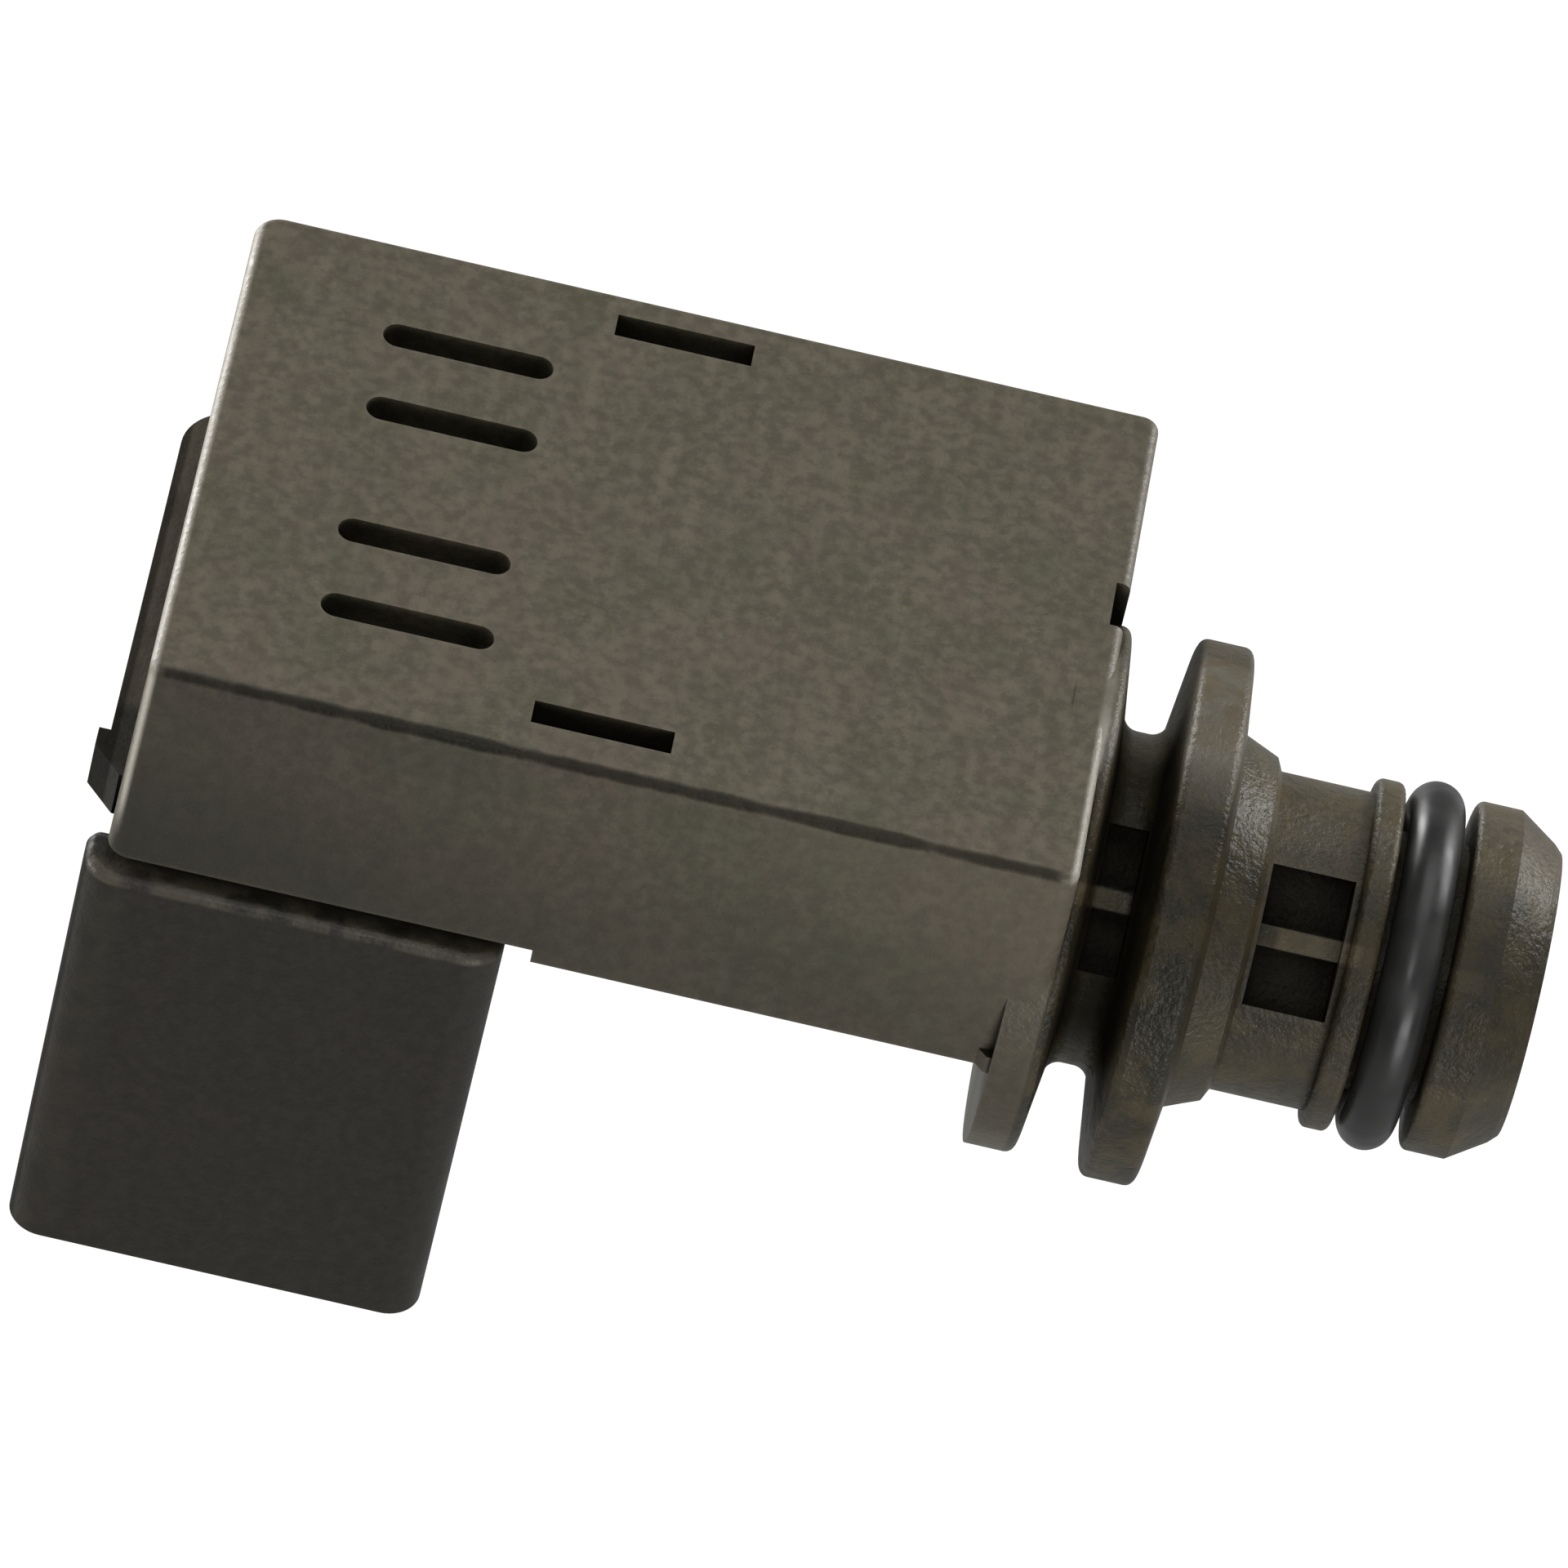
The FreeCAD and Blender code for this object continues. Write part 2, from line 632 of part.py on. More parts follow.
def cored_pockets(body, name, start, length, width, floor, rib_height):
    """Moulded pockets set diagonally round the nozzle, each with a low rib down its middle."""
    end = f"{start} + {length}"
    wide = new_sketch(body, name + "_pocket_outline", "XY_Plane", rib_height, diagonal=True)
    draw(wide, rectangle(start, end, f"- {width} / 2", f"{width} / 2"))
    over_rib = cut(body, name + "_pocket", wide, f"collar_radius - {rib_height}")
    deep = new_sketch(body, name + "_side_outline", "XY_Plane", floor, diagonal=True)
    draw(deep, rectangle(start, end, f"- {width} / 2", "- pocket_rib / 2"))
    draw(deep, rectangle(start, end, "pocket_rib / 2", f"{width} / 2"))
    beside_rib = cut(body, name + "_pocket_sides", deep, f"{rib_height} - {floor}")
    ring = body.newObject("PartDesign::PolarPattern", name + "_pockets")
    ring.Originals = [over_rib, beside_rib]
    ring.Axis = (plane(body, "X_Axis"), [""])
    ring.Angle = 360
    ring.setExpression("Occurrences", named("pocket_count"))
    body.Tip = ring
    doc.recompute()
    return ring


def post_places():
    """Where the four stakes hold the board, near its corners."""
    left, right = f"{BOARD_LEFT} + post_inset", f"{BOARD_RIGHT} - post_inset"
    low, high = f"{BOARD_BOTTOM} + post_inset", f"{BOARD_TOP} - post_inset"
    return [(left, low), (right, low), (right, high), (left, high)]


def lead_sides():
    """How high the two thermistor leads run."""
    return ["bead_height - lead_spacing / 2", "bead_height + lead_spacing / 2"]


def connector_moulding():
    """The cover plate with its plug and snap hooks, and the blade header below it."""
    body = new_body("connector_moulding")
    waist = f"( {LEFT} + waist_inset )"
    web_right = f"( {HEADER_RIGHT} - web_inset )"
    header(body)
    pad_block(body, "web", rectangle(waist, web_right, f"{HEADER_LOW} + header_wall", HEADER_HIGH),
              HEADER_FLOOR, f"{REAR} - groove_depth")
    pad_block(body, "plate", [
        (PLATE_LEFT, f"{TOP} - plate_upper_inset", "plate_upper_round"),
        (PLATE_LEFT, "- lug_high"),
        (f"{PLATE_LEFT} - lug_reach", "- lug_high"),
        (f"{PLATE_LEFT} - lug_reach", "- lug_corner"),
        (f"{PLATE_LEFT} + lug_foot", "- lug_low"),
        (waist, "- lug_low"),
        (waist, f"{IN_BOTTOM} + fit_clearance"),
        (web_right, f"{IN_BOTTOM} + fit_clearance"),
        (web_right, "- plate_lower_edge"),
        (PLATE_RIGHT, "- plate_lower_edge"),
        (PLATE_RIGHT, f"{TOP} - plate_upper_inset"),
    ], PLATE_REAR, REAR)
    plug = rectangle(f"{IN_LEFT} + fit_clearance", f"{IN_RIGHT} - fit_clearance",
                     f"{IN_BOTTOM} + fit_clearance", f"{IN_TOP} - fit_clearance")
    pad_block(body, "plug", plug, REAR, PLUG_TOP)
    hooks(body)
    return body


def on_header_side(box):
    """True where an edge runs front to back along the left or the right side of the header."""
    on_a_side = level(box, HEADER_LEFT, "X") or level(box, HEADER_RIGHT, "X")
    return on_a_side and box.ZLength > value("header_lip")


def header(body):
    """The open-ended box round the blades: a low lip in front, a sloping roof, the mouth behind."""
    roof_start = f"( {HEADER_FRONT} - ( header_height - header_lip ) )"
    profile = new_sketch(body, "header_profile", "YZ_Plane", HEADER_LEFT)
    draw(profile, [
        (HEADER_LOW, HEADER_MOUTH),
        (HEADER_HIGH, HEADER_MOUTH),
        (HEADER_HIGH, roof_start),
        (f"{HEADER_LOW} + header_lip", HEADER_FRONT),
        (HEADER_LOW, HEADER_FRONT),
    ])
    pad(body, "header", profile, span(HEADER_LEFT, HEADER_RIGHT))
    round_edges(body, "header_upper_corners", "header_upper_corner",
                lambda box: on_header_side(box) and box.YMax > value(HEADER_HIGH) - value("header_wall"))
    round_edges(body, "header_lower_corners", "header_corner",
                lambda box: on_header_side(box) and level(box, HEADER_LOW, "Y"))
    round_edges(body, "header_shoulders", "header_shoulder", lambda box: level(box, HEADER_FRONT))
    inside = [f"{HEADER_LEFT} + header_wall", f"{HEADER_RIGHT} - header_wall",
              f"{HEADER_LOW} + header_wall", f"{HEADER_HIGH} - header_wall"]
    cut_block(body, "header_cavity", [(*corner, "cavity_corner") for corner in rectangle(*inside)],
              f"{HEADER_MOUTH} - overshoot", HEADER_FLOOR)
    pad_block(body, "key_rib", rectangle(
        f"{BLADE_MIDDLE} - key_rib_width / 2", f"{BLADE_MIDDLE} + key_rib_width / 2",
        f"{HEADER_LOW} + header_wall / 2", f"{HEADER_LOW} + header_wall + key_rib_height"),
        HEADER_MOUTH, f"{HEADER_FLOOR} + header_wall")
    ramp = new_sketch(body, "lock_ramp_profile", "YZ_Plane", f"{BLADE_MIDDLE} - lock_ramp_width / 2")
    ramp_low = f"{HEADER_MOUTH} + lock_ramp_setback"
    draw(ramp, [
        (f"{HEADER_HIGH} - header_wall / 2", ramp_low),
        (HEADER_HIGH, ramp_low),
        (f"{HEADER_HIGH} + lock_ramp_height", f"{ramp_low} + lock_ramp_length - lock_ramp_flat"),
        (f"{HEADER_HIGH} + lock_ramp_height", f"{ramp_low} + lock_ramp_length"),
        (f"{HEADER_HIGH} - header_wall / 2", f"{ramp_low} + lock_ramp_length"),
    ])
    pad(body, "lock_ramp", ramp, "lock_ramp_width")


def hooks(body):
    """Two snap arms on the plug, whose barbs grip the ledges under the windows."""
    start = f"{WINDOW_MIDDLE} - hook_width / 2"
    root = f"{PLUG_TOP} - plug_depth / 2"
    barb_low = f"{LEDGE_TOP} + hook_gap"
    for side, sign, outer in (("upper", "+", HOOK_OUT_TOP), ("lower", "-", HOOK_OUT_BOTTOM)):
        inner = f"{outer} - hook_thickness" if sign == "+" else f"{outer} + hook_thickness"
        profile = new_sketch(body, side + "_hook_profile", "YZ_Plane", start)
        draw(profile, [
            (inner, root),
            (outer, root),
            (outer, barb_low),
            (f"{outer} {sign} barb_height", barb_low),
            (outer, f"{barb_low} + barb_length"),
            (inner, f"{barb_low} + barb_length"),
        ])
        pad(body, side + "_hook", profile, "hook_width")


def terminal(index):
    """One stamped terminal: a tail to the board, a flat strip in the plate and a blade."""
    label = f"terminal_{index + 1}"
    body = new_body(label)
    across = f"( {BLADE_MIDDLE} + terminal_pitch * ( {index} - ( terminal_count - 1 ) / 2 ) )"
    up = f"( tail_first - tail_pitch * {index} )"
    half = "strip_width / 2"
    pad_block(body, label + "_strip", [
        (f"- tail_place + {half}", f"{up} - {half}"),
        (f"- tail_place + {half}", f"{up} + {half}"),
        (f"{across} - {half}", f"{up} + {half}"),
        (f"{across} - {half}", f"{BLADE_HEIGHT} - blade_thickness / 2"),
        (f"{across} + {half}", f"{BLADE_HEIGHT} - blade_thickness / 2"),
        (f"{across} + {half}", f"{up} - {half}"),
    ], STRIP_REAR, STRIP_FRONT)
    blade_end = f"{HEADER_FLOOR} - blade_length"
    pad_block(body, label + "_blade", rectangle(
        f"{across} - blade_width / 2", f"{across} + blade_width / 2",
        f"{BLADE_HEIGHT} - blade_thickness / 2", f"{BLADE_HEIGHT} + blade_thickness / 2"),
        blade_end, STRIP_FRONT)
    bevel_edges(body, label + "_point", "blade_point", lambda box: level(box, blade_end))
    pad_block(body, label + "_tail", rectangle(
        "- tail_place - tail_width / 2", "- tail_place + tail_width / 2",
        f"{up} - tail_width / 2", f"{up} + tail_width / 2"),
        STRIP_REAR, f"{BOARD_FRONT} + tail_over_board")
    return body


def connector_body(terminals):
    """The connector moulding with the terminals moulded in."""
    moulding = connector_moulding()
    inserts = doc.addObject("Part::Compound", "terminal_inserts")
    inserts.Links = terminals
    piece = doc.addObject("Part::Cut", "connector_body")
    piece.Label = "connector_body"
    piece.Base = moulding
    piece.Tool = inserts
    doc.recompute()
    return piece


def circuit_board():
    """The board on its stakes, drilled for the stakes, the terminal tails and the cell pins."""
    body = new_body("circuit_board")
    pad_block(body, "board", rectangle(BOARD_LEFT, BOARD_RIGHT, BOARD_BOTTOM, BOARD_TOP),
              "board_rear", BOARD_FRONT)
    holes = new_sketch(body, "board_holes", "XY_Plane", "board_rear")
    for across, up in post_places():
        draw_circle(holes, across, up, "stake_radius + hole_clearance")
    for index in range(int(value("terminal_count"))):
        draw_circle(holes, "- tail_place", f"tail_first - tail_pitch * {index}",
                    "tail_width * sqrt(0.5) + hole_clearance")
    for side in (-1, 0, 1):
        draw_circle(holes, PIN_TURN, f"cell_pin_pitch * {side}", "cell_pin_radius + hole_clearance")
    cut(body, "drilling", holes, "board_thickness")
    return body


def pressure_cell():
    """The sensing capsule, with a thin diaphragm at the bottom of its front recess."""
    body = new_body("pressure_cell")
    revolve(body, "capsule", [
        (CELL_BACK, "0"),
        (CELL_BACK, "cell_radius"),
        (CELL_FRONT, "cell_radius"),
        (CELL_FRONT, "cell_recess_radius"),
        (f"{CELL_FRONT} - cell_recess_depth", "cell_recess_radius"),
        (f"{CELL_FRONT} - cell_recess_depth", "0"),
    ])
    return body


def cell_retainer():
    """The pressed ring that holds the cell against its seal."""
    body = new_body("cell_retainer")
    revolve(body, "ring", [
        (f"{CELL_BACK} - retainer_thickness", "retainer_window"),
        (f"{CELL_BACK} - retainer_thickness", CELL_BORE_RADIUS),
        (CELL_BACK, CELL_BORE_RADIUS),
        (CELL_BACK, "retainer_window"),
    ])
    return body


def torus(label, centre, radius, section):
    """A rubber ring about the nozzle axis."""
    ring = doc.addObject("Part::Torus", label)
    ring.Label = label
    ring.setExpression("Radius1", named(radius))
    ring.setExpression("Radius2", named(section))
    ring.Placement = FreeCAD.Placement(FreeCAD.Vector(), FreeCAD.Rotation(FreeCAD.Vector(0, 1, 0), 90))
    ring.setExpression("Placement.Base.x", named(centre))
    return ring


def cell_pin(index):
    """A bent wire from the back of the cell to the board."""
    label = f"cell_pin_{index + 1}"
    body = new_body(label)
    side = f"cell_pin_pitch * {index - 1}"
    path = new_sketch(body, label + "_path", "XZ_Plane", f"- cell_pin_pitch * {index - 1}")
    draw(path, [
        (CELL_BACK, "cell_pin_height"),
        (PIN_TURN, "cell_pin_height", "cell_pin_bend"),
        (PIN_TURN, f"{BOARD_FRONT} + tail_over_board / 2"),
    ], closed=False)
    section = new_sketch(body, label + "_section", "YZ_Plane", CELL_BACK)
    draw_circle(section, side, "cell_pin_height", "cell_pin_radius")
    pipe = body.newObject("PartDesign::AdditivePipe", label + "_wire")
    pipe.Profile = section
    pipe.Spine = path
    doc.recompute()
    return body


def signal_chip():
    """A small moulded chip with gull-wing leads along both sides."""
    body = new_body("signal_chip")
    middle = f"( {BOARD_RIGHT} - chip_from_end )"
    up = "chip_centre_height"
    low = f"( {BOARD_FRONT} + chip_standoff )"
    row_length = "chip_lead_pitch * ( chip_leads_per_side - 1 )"
    pad_block(body, "chip_case", rectangle(
        f"{middle} - chip_length / 2", f"{middle} + chip_length / 2",
        f"{up} - chip_width / 2", f"{up} + chip_width / 2"), low, f"{low} + chip_height")
    top = f"{low} + chip_height"
    bevel_edges(body, "chip_bevels", "chip_bevel", lambda box: level(box, top))
    for side, sign in (("upper", "+"), ("lower", "-")):
        lead = new_sketch(body, f"chip_{side}_lead_profile", "YZ_Plane",
                          f"{middle} - {row_length} / 2 - chip_lead_width / 2")
        inner = f"{up} {sign} ( chip_width / 2 - chip_lead_root )"
        reach = "chip_width / 2 + chip_lead_reach"
        knee = f"{up} {sign} ( {reach} - chip_lead_foot )"
        outer_knee = f"{up} {sign} ( {reach} - chip_lead_foot - chip_lead_thickness )"
        toe = f"{up} {sign} ( {reach} )"
        draw(lead, [
            (inner, f"{BOARD_FRONT} + chip_lead_height"),
            (outer_knee, f"{BOARD_FRONT} + chip_lead_height"),
            (outer_knee, BOARD_FRONT),
            (toe, BOARD_FRONT),
            (toe, f"{BOARD_FRONT} + chip_lead_thickness"),
            (knee, f"{BOARD_FRONT} + chip_lead_thickness"),
            (knee, f"{BOARD_FRONT} + chip_lead_height + chip_lead_thickness"),
            (inner, f"{BOARD_FRONT} + chip_lead_height + chip_lead_thickness"),
        ])
        first = pad(body, f"chip_{side}_lead", lead, "chip_lead_width")
        row = body.newObject("PartDesign::LinearPattern", f"chip_{side}_leads")
        row.Originals = [first]
        row.Direction = (plane(body, "X_Axis"), [""])
        row.setExpression("Length", named(row_length))
        row.setExpression("Occurrences", named("chip_leads_per_side"))
        body.Tip = row
        doc.recompute()
    return body


def small_part(label, across, up, height):
    """A chip resistor or capacitor that lies on the board."""
    piece = doc.addObject("Part::Box", label)
    piece.Label = label
    piece.setExpression("Length", named("small_part_length"))
    piece.setExpression("Width", named("small_part_width"))
    piece.setExpression("Height", named(height))
    piece.setExpression("Placement.Base.x", named(f"{across} - small_part_length / 2"))
    piece.setExpression("Placement.Base.y", named(f"{up} - small_part_width / 2"))
    piece.setExpression("Placement.Base.z", named(BOARD_FRONT))
    return piece


def board_parts():
    """The chip, with its capacitors in one row and its resistors in another."""
    pieces = [signal_chip()]
    for index in range(3):
        pieces.append(small_part(f"chip_capacitor_{index + 1}", f"( {BOARD_RIGHT} - small_part_from_end )",
                                 f"( small_part_first - small_part_pitch * {index} )", "capacitor_height"))
    for index in range(2):
        pieces.append(small_part(f"chip_resistor_{index + 1}", f"( {BOARD_RIGHT} - resistor_from_end )",
                                 f"( resistor_first - small_part_pitch * {index} )", "resistor_height"))
    return pieces


def thermistor_lead(index, side):
    """A straight wire from inside the bead, through the bulkhead, to its pad on the board."""
    piece = doc.addObject("Part::Cylinder", f"thermistor_lead_{index}")
    piece.Label = f"thermistor_lead_{index}"
    start = "( bead_length / 2 - bead_place - lead_in_bead )"
    piece.setExpression("Radius", named("lead_radius"))
    piece.setExpression("Height", named(f"{BOARD_LEFT} + lead_on_board - {start}"))
    piece.Placement = FreeCAD.Placement(FreeCAD.Vector(), FreeCAD.Rotation(FreeCAD.Vector(0, 1, 0), 90))
    piece.setExpression("Placement.Base.x", named(start))
    piece.setExpression("Placement.Base.y", named(side))
    piece.setExpression("Placement.Base.z", named(LEAD_HEIGHT))
    return piece


def thermistor():
    """The dipped bead that hangs on its leads behind the slots."""
    leads = [thermistor_lead(index, side) for index, side in enumerate(lead_sides(), 1)]
    drop = doc.addObject("Part::Ellipsoid", "bead_drop")
    drop.Placement = FreeCAD.Placement(FreeCAD.Vector(), FreeCAD.Rotation(FreeCAD.Vector(0, 1, 0), 90))
    drop.setExpression("Radius1", named("bead_length / 2"))
    drop.setExpression("Radius2", named("bead_radius"))
    drop.setExpression("Radius3", named("bead_radius"))
    drop.setExpression("Placement.Base.x", named("- bead_place"))
    drop.setExpression("Placement.Base.y", named("bead_height"))
    drop.setExpression("Placement.Base.z", named(LEAD_HEIGHT))
    wires = doc.addObject("Part::Compound", "bead_wires")
    wires.Links = leads
    bead = doc.addObject("Part::Cut", "thermistor_bead")
    bead.Label = "thermistor_bead"
    bead.Base = drop
    bead.Tool = wires
    doc.recompute()
    return [bead, *leads]


def check(pieces):
    """Stop on any failed feature, and on any piece that isn't one valid solid."""
    for item in doc.Objects:
        if "Invalid" in item.State or "Error" in item.State:
            raise ValueError(f"{item.Label} failed: {item.State}")
    for piece in pieces:
        shape = piece.Shape
        if shape.isNull() or not shape.isValid() or len(shape.Solids) != 1:
            raise ValueError(f"{piece.Label} isn't one valid solid")


def main():
    """Build every piece, check it and write it out."""
    fill_sheet()
    terminals = [terminal(index) for index in range(int(value("terminal_count")))]
    pieces = [
        main_housing(),
        connector_body(terminals),
        torus("port_o_ring", SEAL_CENTRE, "seal_inner_radius + seal_section / 2", "seal_section / 2"),
        torus("cell_seal", "- cell_bore_end - cell_seal_section / 2",
              "cell_radius - cell_seal_section / 2", "cell_seal_section / 2"),
        pressure_cell(),
        cell_retainer(),
        circuit_board(),
        *terminals,
        *[cell_pin(index) for index in range(3)],
        *board_parts(),
        *thermistor(),
    ]
    doc.recompute()
    check(pieces)
    os.makedirs("parts", exist_ok=True)
    for piece in pieces:
        piece.Shape.exportStep(f"parts/{piece.Label}.step")


main()
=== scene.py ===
"""Looks of a push-in fluid pressure sensor: moulded plastic, rubber, tinned metal and a board.

Metres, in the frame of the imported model: +X out of the nozzle, +Z out of the slotted face.
"""
import math

import bpy
from mathutils import Matrix, Vector


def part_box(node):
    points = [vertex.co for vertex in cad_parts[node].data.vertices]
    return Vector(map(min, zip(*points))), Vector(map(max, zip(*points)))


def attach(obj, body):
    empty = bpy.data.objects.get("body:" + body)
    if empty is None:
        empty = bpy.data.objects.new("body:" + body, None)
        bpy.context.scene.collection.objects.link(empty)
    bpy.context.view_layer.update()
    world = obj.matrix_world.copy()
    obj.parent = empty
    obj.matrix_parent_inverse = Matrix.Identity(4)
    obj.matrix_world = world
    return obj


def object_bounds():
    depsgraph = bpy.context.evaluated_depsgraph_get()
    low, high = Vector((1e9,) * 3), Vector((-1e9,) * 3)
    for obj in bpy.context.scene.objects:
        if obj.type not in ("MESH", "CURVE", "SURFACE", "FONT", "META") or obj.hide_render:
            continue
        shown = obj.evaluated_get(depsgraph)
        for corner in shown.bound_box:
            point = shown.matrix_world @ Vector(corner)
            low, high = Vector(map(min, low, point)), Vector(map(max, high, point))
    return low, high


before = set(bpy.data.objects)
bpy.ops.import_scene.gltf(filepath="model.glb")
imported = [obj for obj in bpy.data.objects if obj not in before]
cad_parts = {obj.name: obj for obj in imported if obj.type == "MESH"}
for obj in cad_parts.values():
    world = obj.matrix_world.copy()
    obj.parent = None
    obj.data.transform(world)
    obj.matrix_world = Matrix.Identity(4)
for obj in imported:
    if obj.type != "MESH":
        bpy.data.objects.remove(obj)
CAD_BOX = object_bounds()

bl_info = {
    "name": "Pressure sensor looks",
    "version": (1, 0, 0),
    "blender": (4, 5, 0),
    "location": "3D View > Sidebar > Sensor",
    "description": "Dresses the parts of a push-in fluid pressure sensor and lights them",
    "category": "Object",
}

MM = 0.001
BOX_LEFT = -49.8 * MM
BOX_RIGHT = -6.8 * MM
BOX_LOW = -11.6 * MM
BOX_FRONT = 12.4 * MM
SHOULDER_DEPTH = 0.85 * MM
DRAFT = math.tan(math.radians(1))
# Each pair says where a mark starts to change and where the change is complete.
BARREL_RIB = (3.0 * MM, 3.4 * MM)
NECK_RIB = (-3.6 * MM, -4.0 * MM)
RING_GROOVE = (6.5 * MM, 7.2 * MM)
TIP_CONE = (13.0 * MM, 12.4 * MM)
FLANGE_RIM = (9 * MM, 10.5 * MM)
ON_WALL = (0.6 * MM, 0.3 * MM)
NEAR_WALL = (0.8 * MM, 0.3 * MM)
ON_EDGE = (0.5 * MM, 0.2 * MM)
LEAD_INSET = 0.6 * MM
ABOVE_BOARD = 0.05 * MM
JOINT_TOP = 0.45
JOINT_SIZES = (0.9, 1.05)
# Colour of the highlights painted along the box's edges.
PAINTED_EDGE_HIGHLIGHT = (0.42, 0.39, 0.33, 1.0)
FLOOR_TONE = (0.36, 0.36, 0.36, 1.0)
FLOOR_GLOW = 0.72
FLOOR_HALF = 4
CAMERA_RIGHT = (0.97444, 0.13799, 0.17727)
CAMERA_BACK = (-0.02886, -0.70566, 0.70796)
# Each lamp's place in lamp reaches from the part's middle, its side in metres and its power in watts.
LAMPS = {
    "top": ((0.0, 0.1, 1.0), 0.5, 1.3),
    "right_back": ((0.7, 0.5, 0.46), 0.35, 3.0),
    "left_back": ((-0.7, 0.7, 0.06), 0.4, 5.2),
    "left": ((-1.0, 0.0, -0.05), 0.4, 3.0),
    "front": ((0.3, -0.52, -0.02), 0.25, 0.9),
    "camera_side": ((-0.05, -0.7, 0.75), 0.12, 0.6),
}


def linear(red, green, blue):
    """A display colour of 0 to 255 a channel, as the linear colour that a shader takes."""
    channels = []
    for channel in (red, green, blue):
        level = channel / 255
        channels.append(level / 12.92 if level <= 0.04045 else ((level + 0.055) / 1.055) ** 2.4)
    return (*channels, 1.0)


def colour(name, description, display):
    """A colour property whose default is a display colour."""
    return bpy.props.FloatVectorProperty(
        name=name, description=description, subtype="COLOR", size=4, min=0, max=1, default=linear(*display)
    )


def length(name, description, millimetres):
    """A length property given in millimetres."""
    return bpy.props.FloatProperty(
        name=name, description=description, unit="LENGTH", default=millimetres * MM, precision=5
    )


def share(name, description, default):
    """A factor property from 0 to 1."""
    return bpy.props.FloatProperty(
        name=name, description=description, subtype="FACTOR", min=0, max=1, default=default
    )


class Wire:
    """An output of a shader node. Arithmetic on it adds Math nodes."""

    def __init__(self, finish, socket):
        self.finish = finish
        self.socket = socket

    def reckon(self, operation, first, second):
        """Add one Math node."""
        return self.finish.node("ShaderNodeMath", {"operation": operation}, {0: first, 1: second})

    def __add__(self, other):
        return self.reckon("ADD", self, other)

    __radd__ = __add__

    def __sub__(self, other):
        return self.reckon("SUBTRACT", self, other)

    def __rsub__(self, other):
        return self.reckon("SUBTRACT", other, self)

    def __mul__(self, other):
        return self.reckon("MULTIPLY", self, other)

    __rmul__ = __mul__

    def __truediv__(self, other):
        return self.reckon("DIVIDE", self, other)

    def __pow__(self, other):
        return self.reckon("POWER", self, other)

    def __abs__(self):
        return self.reckon("ABSOLUTE", self, 0.0)

    def most(self, other):
        """The larger of two values."""
        return self.reckon("MAXIMUM", self, other)


class Finish:
    """A material that is being built round one Principled shader."""

    def __init__(self, name, base, rough):
        self.material = bpy.data.materials.new(name)
        self.material.use_nodes = True
        self.tree = self.material.node_tree
        self.tree.nodes.clear()
        self.shader = self.tree.nodes.new("ShaderNodeBsdfPrincipled")
        self.output = self.tree.nodes.new("ShaderNodeOutputMaterial")
        self.tree.links.new(self.shader.outputs[0], self.output.inputs["Surface"])
        self.put("Base Color", base)
        self.put("Roughness", rough)

    def feed(self, socket, value):
        """Link a wire to a socket, or set the socket to a plain value."""
        if isinstance(value, Wire):
            self.tree.links.new(value.socket, socket)
        else:
            socket.default_value = value

    def put(self, socket, value):
        """Feed one of the shader's own sockets."""
        self.feed(self.shader.inputs[socket], value)

    def node(self, kind, settings=None, sockets=None, output=0):
        """Add any node: its settings first, then the values or wires of its sockets."""
        node = self.tree.nodes.new(kind)
        for name, value in (settings or {}).items():
            setattr(node, name, value)
        for name, value in (sockets or {}).items():
            self.feed(node.inputs[name], value)
        return Wire(self, node.outputs[output])

    def place(self, scale):
        """Object coordinates, stretched."""
        there = self.node("ShaderNodeTexCoord", output="Object")
        return self.node("ShaderNodeMapping", {}, {"Vector": there, "Scale": scale})

    def axis(self, index):
        """One of the three object coordinates, in metres."""
        there = self.node("ShaderNodeTexCoord", output="Object")
        return self.node("ShaderNodeSeparateXYZ", {}, {0: there}, output=index)

    def noise(self, size, detail=2.0, rough=0.5, stretch=(1, 1, 1)):
        """Noise from 0 to 1 whose blotches measure about size, in metres."""
        return self.node("ShaderNodeTexNoise", {}, {
            "Vector": self.place(stretch), "Scale": 0.5 / size, "Detail": detail, "Roughness": rough,
        })

    def remap(self, value, low, high, out_low=0.0, out_high=1.0):
        """Stretch a range of values smoothly to another, and clamp it."""
        return self.node("ShaderNodeMapRange", {"interpolation_type": "SMOOTHSTEP"}, {
            "Value": value, "From Min": low, "From Max": high, "To Min": out_low, "To Max": out_high,
        })

    def blend(self, factor, first, second):
        """Mix two colours."""
        return self.node("ShaderNodeMix", {"data_type": "RGBA"}, {0: factor, 6: first, 7: second}, output=2)

    def hollow(self, reach, inside):
        """Openness from 0 to 1: low in recesses, or near outer edges when it looks inside."""
        return self.node("ShaderNodeAmbientOcclusion", {"samples": 8, "inside": inside, "only_local": True}, {
            "Distance": reach,
        }, output="AO")

    def bump(self, height, distance):
        """Raise the surface by a height of 0 to 1 times a distance in metres."""
        self.put("Normal", self.node("ShaderNodeBump", {}, {"Height": height, "Distance": distance}))

    def cover(self, factor, tint):
        """Lay a matt dark coat of painted shade over the surface where the factor is high."""
        shade_coat = self.node("ShaderNodeBsdfDiffuse", {}, {"Color": tint, "Roughness": 1.0})
        clean = Wire(self, self.shader.outputs[0])
        both = self.node("ShaderNodeMixShader", {}, {0: factor, 1: clean, 2: shade_coat})
        self.tree.links.new(both.socket, self.output.inputs["Surface"])


def scaled(tint, factor):
    """A colour made lighter or darker."""
    return (tint[0] * factor, tint[1] * factor, tint[2] * factor, 1.0)


def shifted(tint, factors):
    """A colour with each channel times its own factor."""
    return (*(channel * factor for channel, factor in zip(tint, factors)), 1.0)


